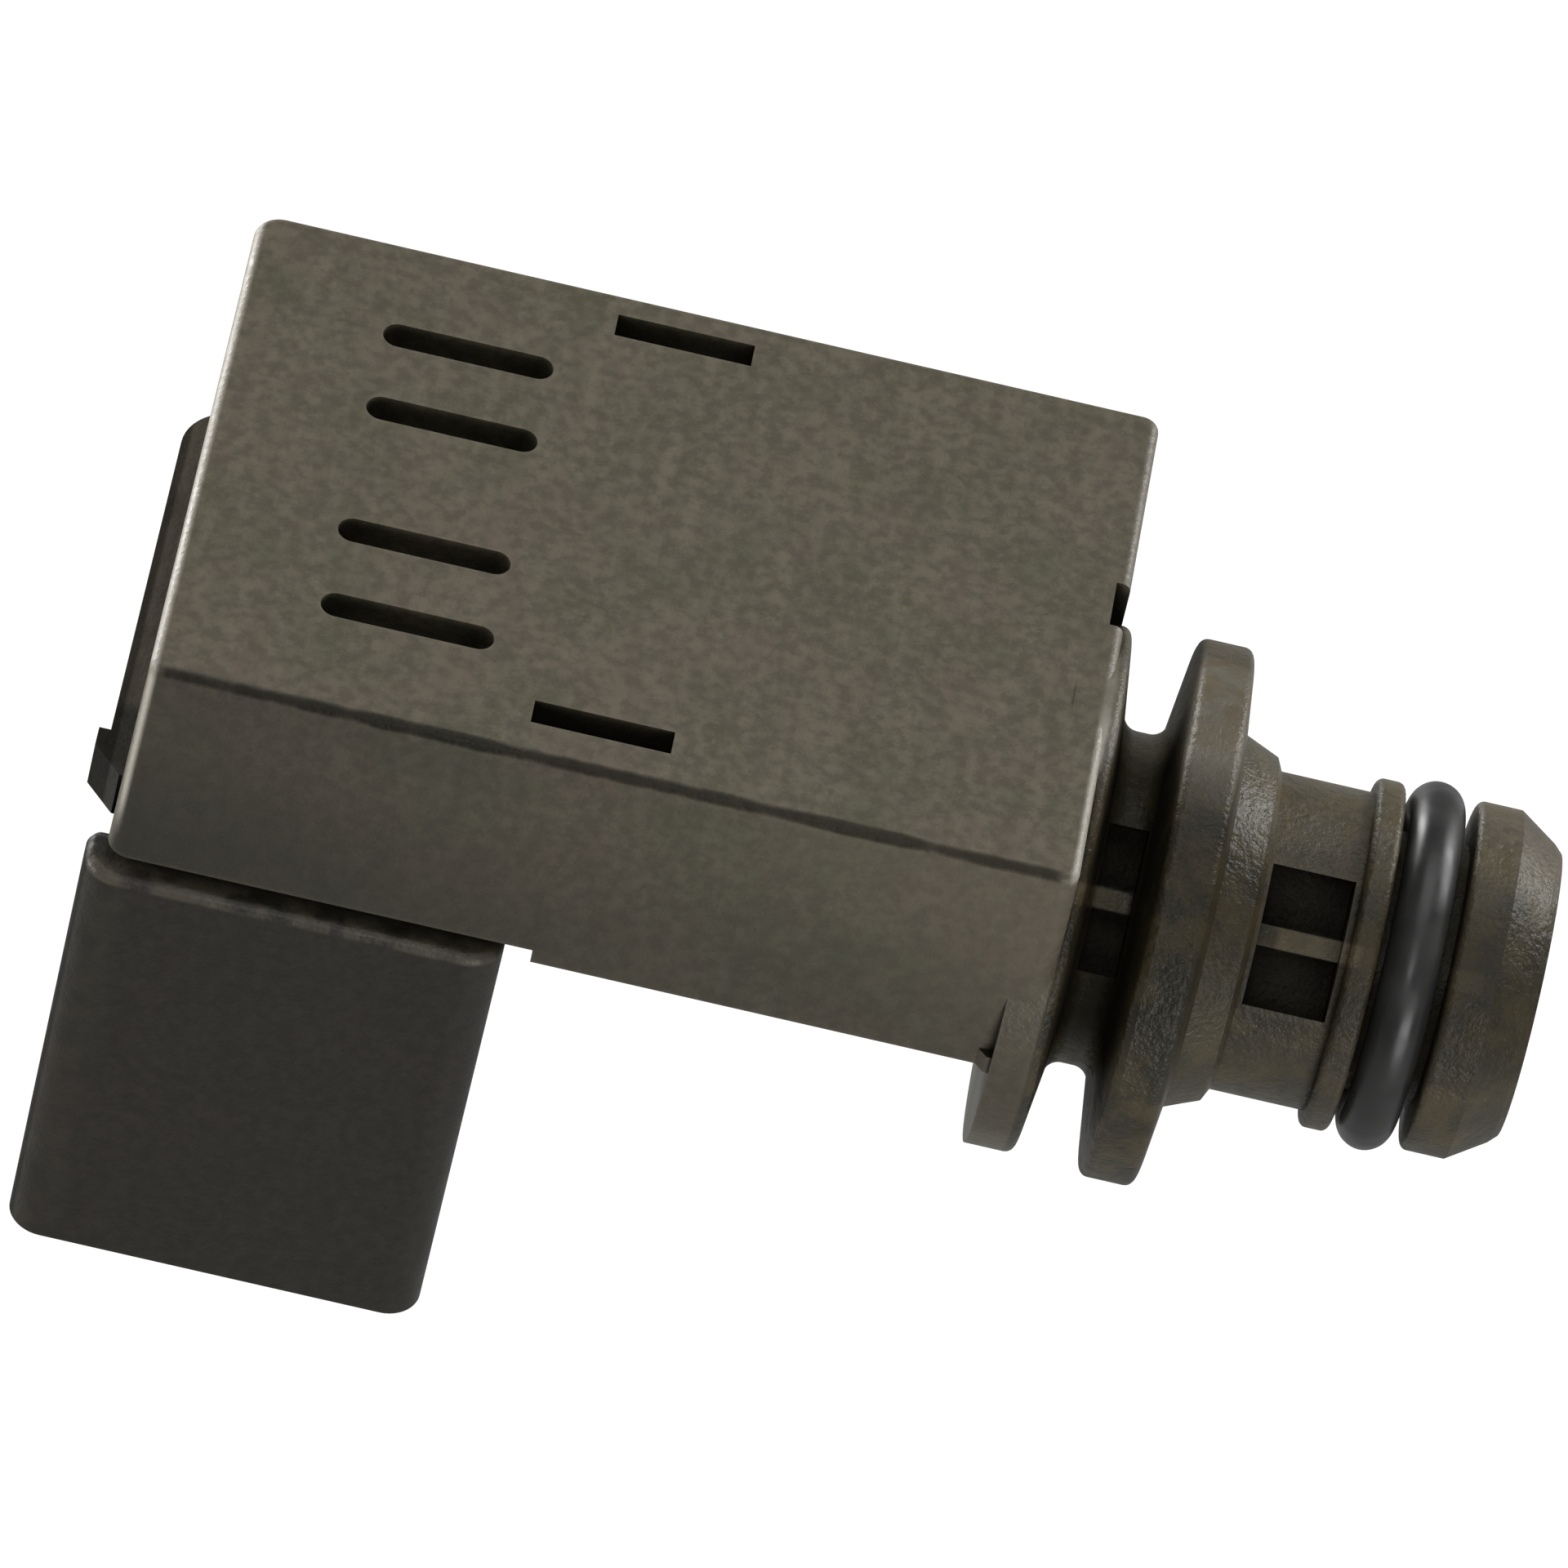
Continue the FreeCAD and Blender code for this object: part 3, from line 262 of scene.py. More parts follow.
class MouldedFinish(bpy.types.PropertyGroup):
    """The two mouldings."""

    housing: colour("Housing", "Plastic of the box and the nozzle", (93, 87, 72))
    connector: colour("Connector", "Plastic of the cover plate and the header", (47, 43, 36))
    roughness: share("Roughness", "How matt the mouldings are", 0.4)
    grain: length("Grain", "Depth of the moulded skin's mottle", 0.1)
    # The two recess settings give the reach and the strength of the painted shade laid in recesses.
    recess_reach: length("Recess reach", "How near walls must stand for grime to settle", 4.0)
    recess_shade_level: share("Recess grime", "How dark the recesses are", 0.93)
    edge_reach: length("Edge reach", "How far wear spreads from an edge", 0.5)
    edge_wear: share("Edge wear", "How pale the rubbed edges are", 0.2)


class RubberFinish(bpy.types.PropertyGroup):
    """The two seals."""

    tint: colour("Rubber", "Rubber of the seals", (44, 44, 43))
    roughness: share("Roughness", "How matt the oiled rubber is", 0.38)


class MetalFinish(bpy.types.PropertyGroup):
    """Terminals, pins and the cell."""

    tin: colour("Tin", "Plating of the terminals and the pins", (196, 192, 180))
    steel: colour("Steel", "The cell and its retainer", (170, 168, 164))


class BoardFinish(bpy.types.PropertyGroup):
    """The board and what is soldered to it."""

    mask: colour("Solder mask", "The board's lacquer", (24, 92, 52))
    case: colour("Chip case", "Moulded case of the chip", (34, 34, 36))
    ceramic: colour("Ceramic", "Body of the capacitors", (166, 132, 96))
    resistor: colour("Resistor", "Top of the resistors", (38, 38, 40))
    bead: colour("Bead", "Epoxy of the thermistor", (40, 46, 58))
    cap_reach: length("Cap reach", "How far the metal ends of the small parts reach in", 0.4)
    lead_reach: length("Lead reach", "How far the chip's leads stand out of its case", 0.95)


class SolderSetup(bpy.types.PropertyGroup):
    """Joints of the wires and tails that reach the board's front."""

    foot: length("Foot", "Radius of a joint on the board", 0.78)
    rise: length("Rise", "Height of a joint over the board", 0.55)
    waist: share("Waist", "How far a joint's side is drawn in", 0.3)
    seed: bpy.props.IntProperty(
        name="Seed", description="Seed of the joints' uneven turn and size", default=4
    )


class StageSetup(bpy.types.PropertyGroup):
    """Floor, lamps and camera."""

    floor_drop: length("Floor drop", "How far the floor lies under the part", 60)
    lamp_reach: length("Lamp reach", "Length by which every lamp's place is multiplied", 700)
    lamp_level: bpy.props.FloatProperty(name="Lamp level", description="Factor on every lamp", default=1.0)
    sky: share("Sky", "Level of the light that comes from all round", 0.16)
    lens: bpy.props.FloatProperty(name="Lens", description="Focal length in millimetres", default=351.1)
    eye: bpy.props.FloatVectorProperty(
        name="Eye", description="Where the camera stands", subtype="TRANSLATION",
        default=(-0.04065, -0.49694, 0.50116),
    )


def dress(node, finish):
    """Give a node of the model its material."""
    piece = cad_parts[node]
    piece.data.materials.clear()
    piece.data.materials.append(finish.material)


def moulded_plastic(name, base, look, marks):
    """Glass-filled plastic: mottled skin, faint flow streaks, painted shade in recesses and worn pale edges.
    """
    rough = look.roughness
    finish = Finish(name, base, rough)
    clouds = finish.remap(finish.noise(3.2 * MM, 3.0, 0.6), 0.35, 0.65)
    streaks = finish.remap(finish.noise(0.45 * MM, 3.0, 0.6, stretch=(1, 0.14, 0.3)), 0.3, 0.7)
    mottle = finish.noise(0.34 * MM, 3.0, 0.65)
    grain = finish.noise(0.12 * MM, 2.0, 0.6)
    tone = finish.blend(clouds, shifted(base, (0.88, 1.0, 0.89)), shifted(base, (1.11, 0.985, 1.04)))
    tone = finish.blend(streaks * 0.8, tone, scaled(base, 1.28))
    tone = finish.blend(finish.remap(mottle, 0.35, 0.65, 0.75, 0.0), tone, scaled(base, 0.7))
    tone, skin, shade_share, own_painted_shade = marks(finish, tone, base)
    pale_mark_and_highlight = finish.hollow(look.edge_reach, inside=True)
    worn = finish.remap(pale_mark_and_highlight + grain * 0.3, 0.95, 0.6, 0.0, look.edge_wear)
    tone = finish.blend(worn, tone, scaled(base, 1.6))
    finish.put("Base Color", tone)
    finish.put("Roughness", finish.remap(mottle + clouds * 0.3, 0.3, 0.9, rough - 0.06, rough + 0.08))
    finish.bump((mottle * 0.6 + grain * 0.4) * skin, look.grain)
    # Recesses and the marks' own masks get a matt dark coat: painted shade.
    open_sky = finish.hollow(look.recess_reach, inside=False)
    settled = finish.remap(open_sky + clouds * 0.06, 0.84, 0.36, 0.0, look.recess_shade_level)
    finish.cover((settled * shade_share).most(own_painted_shade), scaled(base, 0.05))
    return finish


def box_marks(finish, tone, base, spot, waver):
    """The box's colour with painted highlights on its edges and painted shade and light on its lower face,
    and the mask of a dark line of painted shade along its front's lower edge.
    """
    along, up, out = spot
    from_left = along - out * DRAFT - (BOX_LEFT - BOX_FRONT * DRAFT)
    from_right = (BOX_RIGHT + BOX_FRONT * DRAFT) - along - out * DRAFT
    from_low = up - out * DRAFT - (BOX_LOW - BOX_FRONT * DRAFT)
    from_front = BOX_FRONT - out
    on_low = finish.remap(from_low, *ON_WALL)
    at_front = finish.remap(from_front, *NEAR_WALL)
    at_low = finish.remap(from_low, *NEAR_WALL)
    # The lower face is painted darker towards the left, next to the header, and towards its back: painted
    # shade.
    painted_shade_left = finish.remap(from_left + waver * 16 * MM, 38 * MM, 8 * MM, 0.0, 0.5)
    deep = finish.remap(from_front + waver * 4 * MM, 4 * MM, 13 * MM, 0.0, 0.42)
    tone = finish.blend((painted_shade_left + deep) * on_low, tone, scaled(base, 0.28))
    # The lower face is painted lighter towards the right and the front: painted light.
    painted_light_right = finish.remap(from_right + from_front + waver * 10 * MM, 26 * MM, 8 * MM, 0.0, 0.4)
    tone = finish.blend(painted_light_right * on_low, tone, scaled(base, 1.45))
    # Painted highlights along the box's front left edge, its lower left edge and its front right edge.
    left = finish.remap(from_left, *ON_EDGE)
    tone = finish.blend(left * at_front * 0.8, tone, PAINTED_EDGE_HIGHLIGHT)
    down_left = left * at_low * finish.remap(from_front, 11.5 * MM, 8 * MM)
    down_left = down_left * finish.remap(from_front, 0.0, 1 * MM)
    tone = finish.blend(down_left, tone, scaled(PAINTED_EDGE_HIGHLIGHT, 1.6))
    right = finish.remap(from_right, *ON_EDGE) * at_front * finish.remap(up, 0.0, -2 * MM, 0.25, 0.7)
    tone = finish.blend(right, tone, PAINTED_EDGE_HIGHLIGHT)
    # A dark line along the edge between the front and the lower face, later laid as a matt coat that hides
    # the edge's highlight: painted shade.
    crease = finish.remap(from_front + from_low + waver * 0.4 * MM, 0.72 * MM, 0.48 * MM, 0.0, 0.72)
    crease = crease * finish.remap(from_right, 0.3 * MM, 1.2 * MM)
    crease = crease * finish.remap(from_left, 0.4 * MM, 0.9 * MM)
    return tone, crease


def housing_marks(finish, tone, base):
    """The housing's marks: its colour, bump factor, share of the painted recess shade, and painted shade of
    its own.
    """
    spot = [finish.axis(index) for index in range(3)]
    along, up, out = spot
    waver = finish.noise(1.6 * MM, 3.0, 0.6)
    tone, crease = box_marks(finish, tone, base, spot, waver)
    nozzle = finish.remap(along, BOX_RIGHT, BOX_RIGHT + 0.25 * MM)
    # The nozzle is stained darker with oil, more at the flange rim, and painted darker towards -Y and -Z,
    # where less light falls: painted shade.
    oil_and_painted_shade = finish.remap(up * 0.7 + out * 0.3 + waver * 3 * MM, 6 * MM, 1 * MM, 0.14, 0.66)
    radius = (up * up + out * out) ** 0.5
    at_rim = finish.remap(radius, *FLANGE_RIM, 0.0, 0.2)
    tone = finish.blend((oil_and_painted_shade + at_rim) * nozzle, tone, shifted(base, (0.2, 0.19, 0.12)))
    # Pale parting mark along the mould's parting plane and a painted highlight on the rib tops there; fainter
    # on the tip's land.
    ribs = finish.remap(abs(up + out), 0.9 * MM, 0.5 * MM) * nozzle * finish.remap(waver, 0.3, 0.6, 0.2, 0.6)
    on_rib = finish.remap(along, *BARREL_RIB).most(finish.remap(along, *NECK_RIB))
    off_cone = finish.remap(along, *TIP_CONE) * finish.remap(along, *RING_GROOVE, 1.0, 0.3)
    pale_mark_and_highlight = ribs * on_rib * off_cone
    tone = finish.blend(pale_mark_and_highlight, tone, shifted(base, (1.5, 1.4, 1.1)))
    varnish = finish.remap(finish.noise(1.1 * MM, 4.0, 0.65), 0.42, 0.62, 0.0, 0.5) * nozzle
    tone = finish.blend(varnish, tone, shifted(base, (0.95, 0.82, 0.5)))
    # On the nozzle the painted recess shade is left out away from the pockets' diagonal, and more painted
    # shade darkens the pockets on the -Y, +Z side.
    shade_spared = finish.remap(abs(out - up) / radius, 1.0, 0.6, 0.0, 0.9)
    facing = finish.remap((out - up) / radius, 1.0, 1.4, 0.0, 0.45)
    shade_share = 1.0 - nozzle * shade_spared.most(pale_mark_and_highlight)
    return tone, nozzle * 0.8 + 1.0, shade_share, crease.most(nozzle * facing * (1.0 - pale_mark_and_highlight))


def connector_marks(finish, tone, base):
    """The connector's marks: painted light on the plate's ledge and on the left strip, a painted highlight on
    the shoulder and painted shade on the lug.
    """
    along, up, out = (finish.axis(index) for index in range(3))
    # The plate's ledge beside the box is painted lighter in streaks, most near its top: painted light.
    ledge = finish.remap(along, BOX_LEFT - 0.1 * MM, BOX_LEFT - 0.3 * MM)
    ledge = ledge * finish.remap(out, -2.5 * MM, -2 * MM)
    film = finish.remap(finish.noise(0.5 * MM, 3.0, 0.6, stretch=(1, 0.2, 1)), 0.3, 0.7, 0.5, 1.0)
    painted_ledge_light = ledge * film * finish.remap(up, -2.0 * MM, -1.0 * MM, 0.1, 1.0)
    tone = finish.blend(painted_ledge_light, tone, scaled(base, 4.2))
    waver = finish.noise(0.9 * MM, 3.0, 0.6)
    # Painted highlight along the header's front shoulder, brightest at its left corner.
    shoulder = finish.remap(abs(out + SHOULDER_DEPTH), 0.4 * MM, 0.15 * MM)
    shoulder = shoulder * finish.remap(up, -10.8 * MM, -11.6 * MM)
    corner = finish.remap(along, BOX_LEFT + 1.4 * MM, BOX_LEFT + 0.4 * MM, 0.0, 0.6)
    shoulder_highlight = shoulder * (finish.remap(waver, 0.38, 0.6, 0.05, 0.7) + corner)
    # The connector's left rounded edge is painted lighter, where the left lamps fall: painted light.
    strip = finish.remap(along, BOX_LEFT + 1.8 * MM, BOX_LEFT + 0.2 * MM)
    strip = strip * finish.remap(out, -1 * MM, -2 * MM)
    tone = finish.blend(strip * finish.remap(waver, 0.3, 0.7, 0.1, 0.5), tone, scaled(base, 2.2))
    # The lug gets a matt dark coat that hides the left lamps' light: painted shade.
    lug = finish.remap(along, BOX_LEFT - 0.8 * MM, BOX_LEFT - 1.0 * MM, 0.12, 0.55)
    return finish.blend(shoulder_highlight, tone, scaled(base, 4.0)), 0.8, 1.0, lug


class SENSOR_OT_mouldings(bpy.types.Operator):
    """Dress the housing and the connector moulding"""

    bl_idname = "sensor.mouldings"
    bl_label = "Dress the mouldings"

    def execute(self, context):
        look = context.scene.sensor_moulded
        housing = moulded_plastic("housing_plastic", tuple(look.housing), look, housing_marks)
        connector = moulded_plastic("connector_plastic", tuple(look.connector), look, connector_marks)
        dress("main_housing", housing)
        dress("connector_body", connector)
        return {"FINISHED"}


def rubber(name, base, rough):
    """Oiled rubber: soft gloss that varies, with a faint moulded skin."""
    finish = Finish(name, base, rough)
    film = finish.noise(1.4 * MM, 3.0, 0.55)
    tint = finish.blend(finish.remap(film, 0.35, 0.65), scaled(base, 0.85), scaled(base, 1.15))
    finish.put("Base Color", tint)
    finish.put("Roughness", finish.remap(film, 0.35, 0.7, rough - 0.1, rough + 0.08))
    finish.bump(finish.noise(0.12 * MM, 2.0), 0.004 * MM)
    return finish


class SENSOR_OT_seals(bpy.types.Operator):
    """Dress the O-ring and the cell's seal"""

    bl_idname = "sensor.seals"
    bl_label = "Dress the seals"

    def execute(self, context):
        look = context.scene.sensor_rubber
        finish = rubber("seal_rubber", tuple(look.tint), look.roughness)
        for node in ("port_o_ring", "cell_seal"):
            dress(node, finish)
        return {"FINISHED"}


def plated_metal(name, base, rough, drawn):
    """Plated or turned metal, with fine lines one way and dull patches."""
    finish = Finish(name, base, rough)
    finish.put("Metallic", 1.0)
    lines = finish.noise(0.05 * MM, 2.0, 0.5, stretch=drawn)
    dull = finish.noise(1.2 * MM, 3.0, 0.6)
    finish.put("Base Color", finish.blend(finish.remap(dull, 0.4, 0.7), base, scaled(base, 0.72)))
    finish.put("Roughness", finish.remap(lines * 0.5 + dull * 0.5, 0.3, 0.7, rough - 0.08, rough + 0.12))
    finish.bump(lines, 0.002 * MM)
    return finish


class SENSOR_OT_metals(bpy.types.Operator):
    """Dress the terminals, the pins, the leads and the cell"""

    bl_idname = "sensor.metals"
    bl_label = "Dress the metals"

    def execute(self, context):
        look = context.scene.sensor_metal
        tin = plated_metal("terminal_metal", tuple(look.tin), 0.3, (1, 1, 0.08))
        wire = plated_metal("pin_metal", tuple(look.tin), 0.26, (0.08, 1, 1))
        steel = plated_metal("cell_steel", tuple(look.steel), 0.32, (0.08, 1, 1))
        for node in sorted(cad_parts):
            if node.startswith("terminal_"):
                dress(node, tin)
            elif node.startswith(("cell_pin_", "thermistor_lead_")):
                dress(node, wire)
            elif node in ("pressure_cell", "cell_retainer"):
                dress(node, steel)
        return {"FINISHED"}


def ceramic(name, base, rough):
    """Fired or moulded bodies of the small parts."""
    finish = Finish(name, base, rough)
    speck = finish.noise(0.15 * MM, 3.0, 0.6)
    tint = finish.blend(finish.remap(speck, 0.4, 0.6), scaled(base, 0.88), scaled(base, 1.1))
    finish.put("Base Color", tint)
    finish.put("Roughness", finish.remap(speck, 0.3, 0.7, rough - 0.08, rough + 0.08))
    finish.bump(speck, 0.004 * MM)
    return finish


def with_metal_ends(finish, node, reach, tin):
    """Plate what lies within a reach of a part's two ends along its longer side."""
    low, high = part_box(node)
    side = 0 if high.x - low.x > high.y - low.y else 1
    half = (high[side] - low[side]) / 2
    place = finish.axis(side) - (low[side] + half)
    blur = 0.02 * MM
    metal = finish.remap(abs(place), half - reach - blur, half - reach + blur)
    body = Wire(finish, finish.shader.inputs["Base Color"].links[0].from_socket)
    finish.put("Base Color", finish.blend(metal, body, tin))
    finish.put("Metallic", metal)
    return finish


class SENSOR_OT_board(bpy.types.Operator):
    """Dress the board, the chip, the small parts and the bead"""

    bl_idname = "sensor.board"
    bl_label = "Dress the board"

    def execute(self, context):
        look = context.scene.sensor_board
        dress("circuit_board", ceramic("board_laminate", tuple(look.mask), 0.35))
        dress("thermistor_bead", ceramic("bead_epoxy", tuple(look.bead), 0.2))
        tin = tuple(context.scene.sensor_metal.tin)
        chip = ceramic("chip_plastic", tuple(look.case), 0.5)
        dress("signal_chip", with_metal_ends(chip, "signal_chip", look.lead_reach, tin))
        for node in sorted(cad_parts):
            if node.startswith("chip_capacitor_"):
                body = ceramic(f"{node}_ceramic", tuple(look.ceramic), 0.5)
                dress(node, with_metal_ends(body, node, look.cap_reach, tin))
            elif node.startswith("chip_resistor_"):
                body = ceramic(f"{node}_ceramic", tuple(look.resistor), 0.35)
                dress(node, with_metal_ends(body, node, look.cap_reach, tin))
        return {"FINISHED"}


def joint_places():
    """Where wires and tails stand over the board's front, one place for each."""
    board_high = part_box("circuit_board")[1]
    places = []
    for node in sorted(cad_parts):
        if node.startswith("thermistor_lead_"):
            lead_low, lead_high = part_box(node)
            places.append((lead_high.x - LEAD_INSET, (lead_low.y + lead_high.y) / 2, board_high.z))
        if not node.startswith(("terminal_", "cell_pin_")):
            continue
        spots = [spot.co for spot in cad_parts[node].data.vertices]
        over = [spot for spot in spots if spot.z > board_high.z + ABOVE_BOARD]
        if not over:
            raise RuntimeError(f"{node} doesn't reach the board's front")
        middle = sum(over, Vector()) / len(over)
        places.append((middle.x, middle.y, board_high.z))
    return places


def joint_tree():
    """A node tree that sets one drawn-in solder cone on every point, unevenly turned and sized."""
    tree = bpy.data.node_groups.new("solder_joints", "GeometryNodeTree")
    for name, kind in (
        ("Places", "NodeSocketGeometry"), ("Foot", "NodeSocketFloat"), ("Rise", "NodeSocketFloat"),
        ("Waist", "NodeSocketFloat"), ("Seed", "NodeSocketInt"), ("Metal", "NodeSocketMaterial"),
    ):
        tree.interface.new_socket(name, in_out="INPUT", socket_type=kind)
    tree.interface.new_socket("Joints", in_out="OUTPUT", socket_type="NodeSocketGeometry")
    given = tree.nodes.new("NodeGroupInput").outputs

    def node(kind, settings=None, sockets=None):
        made = tree.nodes.new(kind)
        for name, value in (settings or {}).items():
            setattr(made, name, value)
        for name, value in (sockets or {}).items():
            if isinstance(value, bpy.types.NodeSocket):
                tree.links.new(value, made.inputs[name])
            else:
                made.inputs[name].default_value = value
        return made.outputs

    def reckon(operation, first, second=0.0):
        return node("ShaderNodeMath", {"operation": operation}, {0: first, 1: second})[0]

    top = reckon("MULTIPLY", given["Foot"], JOINT_TOP)
    cone = node("GeometryNodeMeshCone", {}, {
        "Vertices": 28, "Side Segments": 8, "Radius Top": top,
        "Radius Bottom": given["Foot"], "Depth": given["Rise"],
    })["Mesh"]
    here = node("GeometryNodeInputPosition")[0]
    parts = node("ShaderNodeSeparateXYZ", {}, {0: here})
    climb = reckon("DIVIDE", parts["Z"], given["Rise"])
    draw = reckon("SINE", reckon("MULTIPLY", climb, math.pi))
    keep = reckon("SUBTRACT", 1.0, reckon("MULTIPLY", draw, given["Waist"]))
    drawn = node("ShaderNodeCombineXYZ", {}, {
        "X": reckon("MULTIPLY", parts["X"], keep), "Y": reckon("MULTIPLY", parts["Y"], keep), "Z": parts["Z"],
    })[0]
    joint = node("GeometryNodeSetPosition", {}, {"Geometry": cone, "Position": drawn})[0]
    numbers = {"data_type": "FLOAT"}
    least, most = JOINT_SIZES
    turn = node("FunctionNodeRandomValue", numbers, {2: 0.0, 3: math.tau, "Seed": given["Seed"]})[1]
    size = node("FunctionNodeRandomValue", numbers, {2: least, 3: most, "Seed": given["Seed"]})[1]
    points = node("GeometryNodeMeshToPoints", {}, {"Mesh": given["Places"]})[0]
    copies = node("GeometryNodeInstanceOnPoints", {}, {
        "Points": points, "Instance": joint, "Rotation": node("ShaderNodeCombineXYZ", {}, {"Z": turn})[0],
        "Scale": node("ShaderNodeCombineXYZ", {}, {"X": size, "Y": size, "Z": 1.0})[0],
    })[0]
    real = node("GeometryNodeRealizeInstances", {}, {"Geometry": copies})[0]
    dressed = node("GeometryNodeSetMaterial", {}, {"Geometry": real, "Material": given["Metal"]})[0]
    out = tree.nodes.new("NodeGroupOutput")
    tree.links.new(dressed, out.inputs["Joints"])
    return tree


class SENSOR_OT_solder(bpy.types.Operator):
    """Set a solder joint on every tail, pin and lead that reaches the board's front"""

    bl_idname = "sensor.solder"
    bl_label = "Solder the board"

    def execute(self, context):
        setup = context.scene.sensor_solder
        seeds = bpy.data.meshes.new("solder_places")
        seeds.from_pydata(joint_places(), [], [])
        holder = bpy.data.objects.new("solder_places", seeds)
        context.scene.collection.objects.link(holder)
        tree = joint_tree()
        modifier = holder.modifiers.new("Joints", "NODES")
        modifier.node_group = tree
        tin = plated_metal("solder_tin", tuple(context.scene.sensor_metal.tin), 0.22, (1, 1, 1))
        given = {
            "Foot": setup.foot, "Rise": setup.rise, "Waist": setup.waist, "Seed": setup.seed,
            "Metal": tin.material,
        }
        for socket in tree.interface.items_tree:
            if socket.name in given:
                modifier[socket.identifier] = given[socket.name]
        settled = holder.evaluated_get(context.evaluated_depsgraph_get())
        mesh = bpy.data.meshes.new_from_object(settled)
        if not mesh.polygons:
            raise RuntimeError("no solder joint was made")
        holder.modifiers.remove(modifier)
        bpy.data.objects.remove(holder)
        mesh.name = "solder_joints"
        mesh.polygons.foreach_set("use_smooth", [True] * len(mesh.polygons))
        joints = bpy.data.objects.new("solder_joints", mesh)
        context.scene.collection.objects.link(joints)
        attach(joints, "root")
        return {"FINISHED"}


def floor_finish():
    """A floor that reads as white to the camera and keeps the part's shadow."""
    finish = Finish("floor_white", FLOOR_TONE, 0.9)
    finish.put("Specular IOR Level", 0.0)
    grain = finish.noise(0.05, 2.0)
    finish.put("Base Color", finish.blend(grain, scaled(FLOOR_TONE, 0.98), scaled(FLOOR_TONE, 1.02)))
    camera = finish.node("ShaderNodeLightPath", output="Is Camera Ray")
    glow = finish.node("ShaderNodeEmission", {}, {"Color": (1, 1, 1, 1), "Strength": FLOOR_GLOW})
    matt = Wire(finish, finish.shader.outputs[0])
    lit = finish.node("ShaderNodeAddShader", {}, {0: matt, 1: glow})
    seen = finish.node("ShaderNodeMixShader", {}, {0: camera, 1: matt, 2: lit})
    finish.tree.links.new(seen.socket, finish.output.inputs["Surface"])
    return finish.material


def studio(level):
    """A world that lights the part evenly and looks white to the camera."""
    world = bpy.data.worlds.new("studio")
    world.use_nodes = True
    tree = world.node_tree
    tree.nodes.clear()
    light = tree.nodes.new("ShaderNodeBackground")
    light.inputs["Strength"].default_value = level
    white = tree.nodes.new("ShaderNodeBackground")
    for backing in (light, white):
        backing.inputs["Color"].default_value = (1.0, 1.0, 1.0, 1.0)
    ray = tree.nodes.new("ShaderNodeLightPath")
    both = tree.nodes.new("ShaderNodeMixShader")
    out = tree.nodes.new("ShaderNodeOutputWorld")
    tree.links.new(ray.outputs["Is Camera Ray"], both.inputs[0])
    tree.links.new(light.outputs[0], both.inputs[1])
    tree.links.new(white.outputs[0], both.inputs[2])
    tree.links.new(both.outputs[0], out.inputs["Surface"])
    return world


def lamp(name, place, target, size, power):
    """A square area lamp that points at a target and that the camera doesn't see."""
    light = bpy.data.lights.new(name, "AREA")
    light.size = size
    light.energy = power
    holder = bpy.data.objects.new(name, light)
    bpy.context.scene.collection.objects.link(holder)
    holder.visible_camera = False
    holder.location = place
    holder.rotation_euler = (target - place).to_track_quat("-Z", "Y").to_euler()


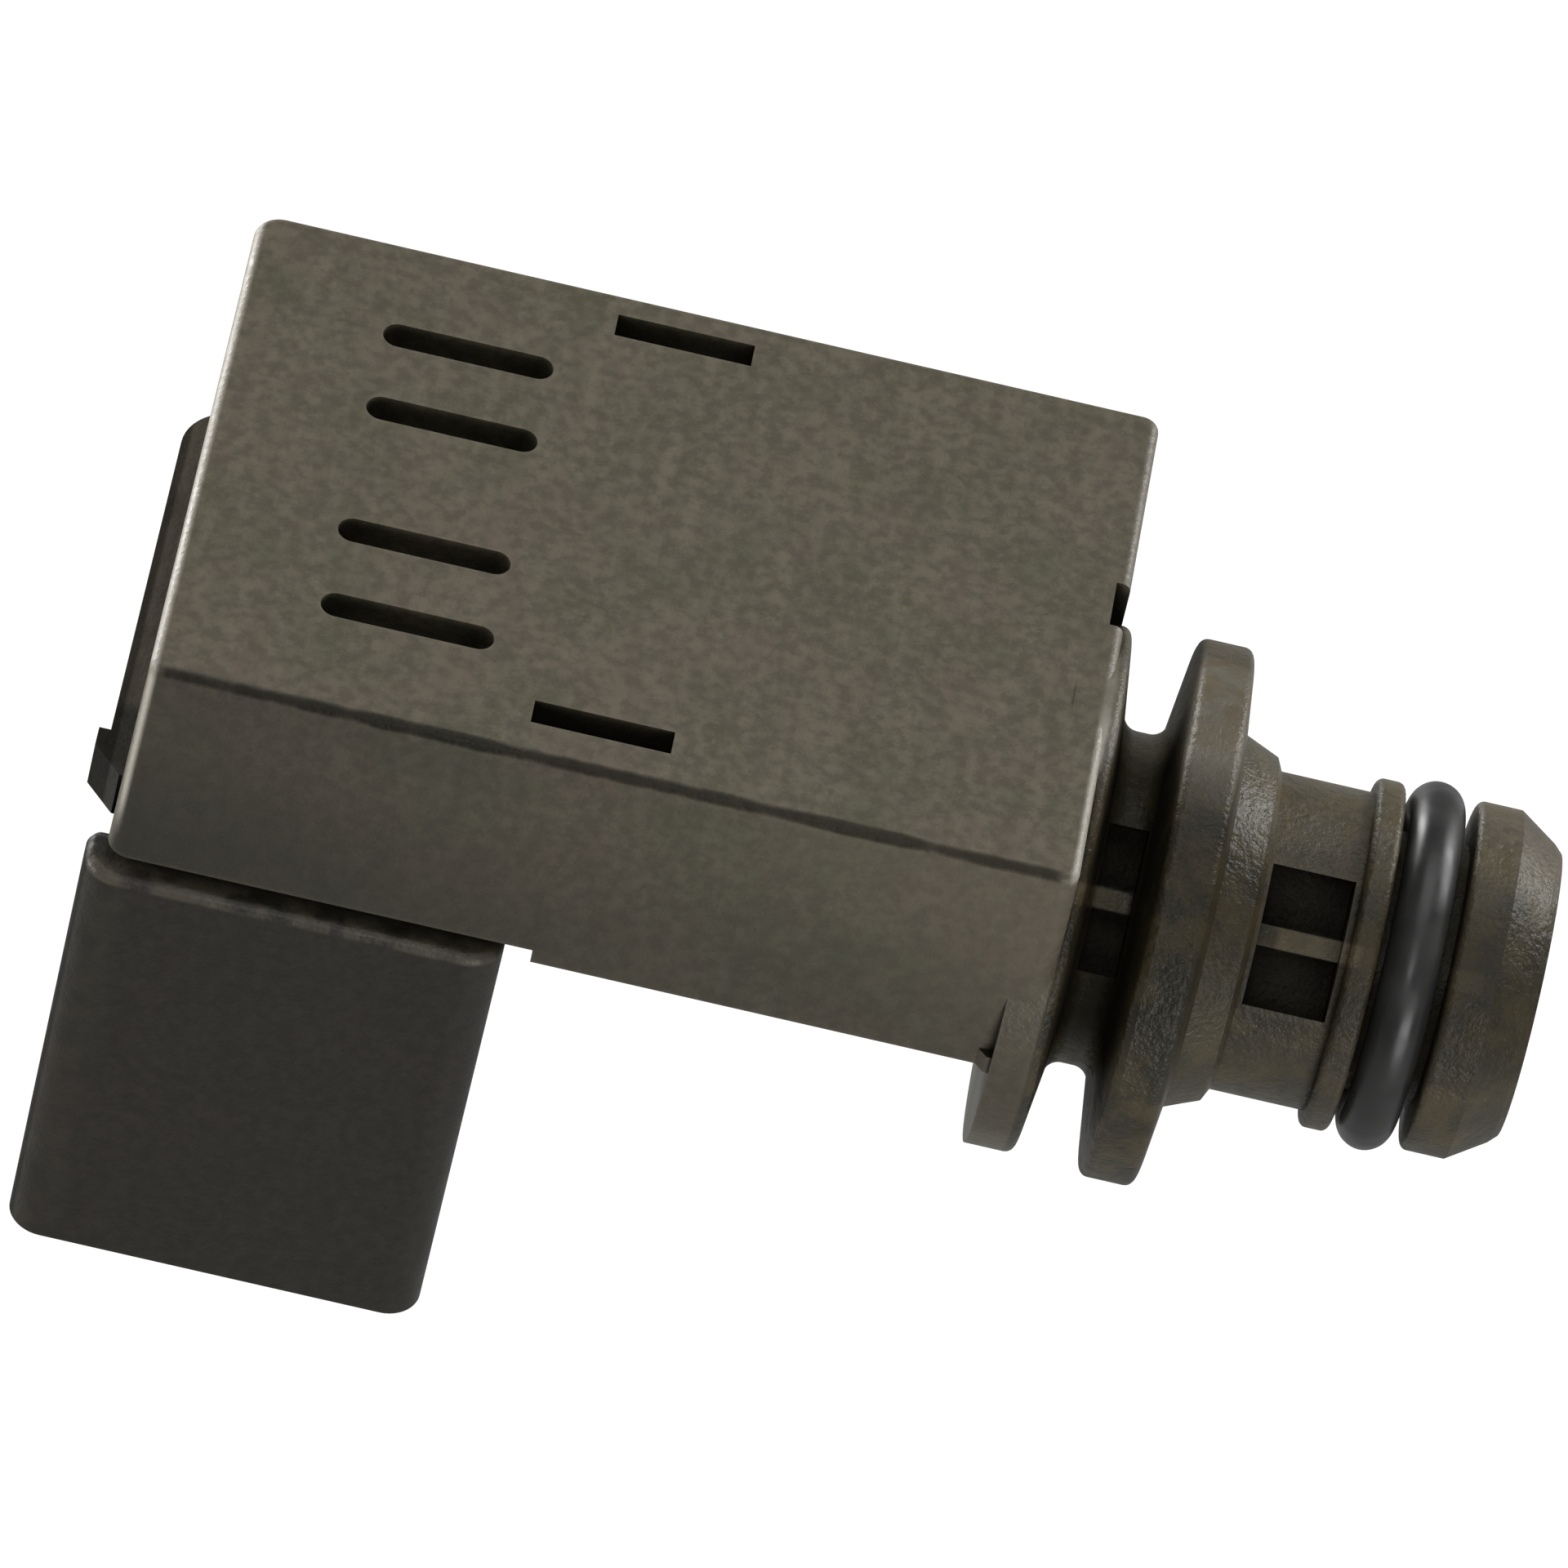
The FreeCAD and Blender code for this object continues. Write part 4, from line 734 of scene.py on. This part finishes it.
class SENSOR_OT_stage(bpy.types.Operator):
    """Lay the floor, set the lamps and the camera"""

    bl_idname = "sensor.stage"
    bl_label = "Set the stage"

    def execute(self, context):
        setup = context.scene.sensor_stage
        low, high = CAD_BOX
        middle = (low + high) / 2
        mesh = bpy.data.meshes.new("floor")
        depth = low.z - setup.floor_drop
        ways = ((-1, -1), (1, -1), (1, 1), (-1, 1))
        corners = [(across * FLOOR_HALF, deep * FLOOR_HALF, depth) for across, deep in ways]
        mesh.from_pydata(corners, [], [(0, 1, 2, 3)])
        floor = bpy.data.objects.new("floor", mesh)
        context.scene.collection.objects.link(floor)
        floor.data.materials.append(floor_finish())
        context.scene.world = studio(setup.sky)
        for name, (way, size, power) in LAMPS.items():
            place = middle + Vector(way) * setup.lamp_reach
            lamp(name, place, middle, size, power * setup.lamp_level)
        sight = bpy.data.cameras.new("camera")
        sight.lens = setup.lens
        sight.sensor_width = 36
        sight.clip_start = 0.01
        eye = bpy.data.objects.new("camera", sight)
        context.scene.collection.objects.link(eye)
        right = Vector(CAMERA_RIGHT).normalized()
        back = Vector(CAMERA_BACK).normalized()
        up = back.cross(right).normalized()
        right = up.cross(back)
        turn = Matrix((right, up, back)).transposed()
        eye.matrix_world = Matrix.Translation(Vector(setup.eye)) @ turn.to_4x4()
        context.scene.camera = eye
        context.scene.view_settings.view_transform = "Standard"
        return {"FINISHED"}


class SENSOR_PT_panel(bpy.types.Panel):
    """The sensor's finishes and steps"""

    bl_idname = "SENSOR_PT_panel"
    bl_label = "Pressure sensor"
    bl_space_type = "VIEW_3D"
    bl_region_type = "UI"
    bl_category = "Sensor"

    def draw(self, context):
        for group in GROUPS:
            box = self.layout.box()
            settings = getattr(context.scene, group)
            for name in settings.__annotations__:
                box.prop(settings, name)
        for step in STEPS:
            self.layout.operator(step)


GROUPS = {
    "sensor_moulded": MouldedFinish,
    "sensor_rubber": RubberFinish,
    "sensor_metal": MetalFinish,
    "sensor_board": BoardFinish,
    "sensor_solder": SolderSetup,
    "sensor_stage": StageSetup,
}
STEPS = ("sensor.mouldings", "sensor.seals", "sensor.metals", "sensor.board", "sensor.solder", "sensor.stage")
CLASSES = (
    *GROUPS.values(), SENSOR_OT_mouldings, SENSOR_OT_seals, SENSOR_OT_metals, SENSOR_OT_board,
    SENSOR_OT_solder, SENSOR_OT_stage, SENSOR_PT_panel,
)


def register():
    """Register every class and hang the property groups on the scene."""
    for made in CLASSES:
        bpy.utils.register_class(made)
    for name, group in GROUPS.items():
        setattr(bpy.types.Scene, name, bpy.props.PointerProperty(type=group))


def unregister():
    """Undo what register did."""
    for name in GROUPS:
        delattr(bpy.types.Scene, name)
    for made in reversed(CLASSES):
        bpy.utils.unregister_class(made)


def main():
    """Register the classes and run every step."""
    register()
    for step in STEPS:
        group, name = step.split(".")
        getattr(getattr(bpy.ops, group), name)()
    bpy.context.view_layer.update()


if __name__ == "__main__":
    main()
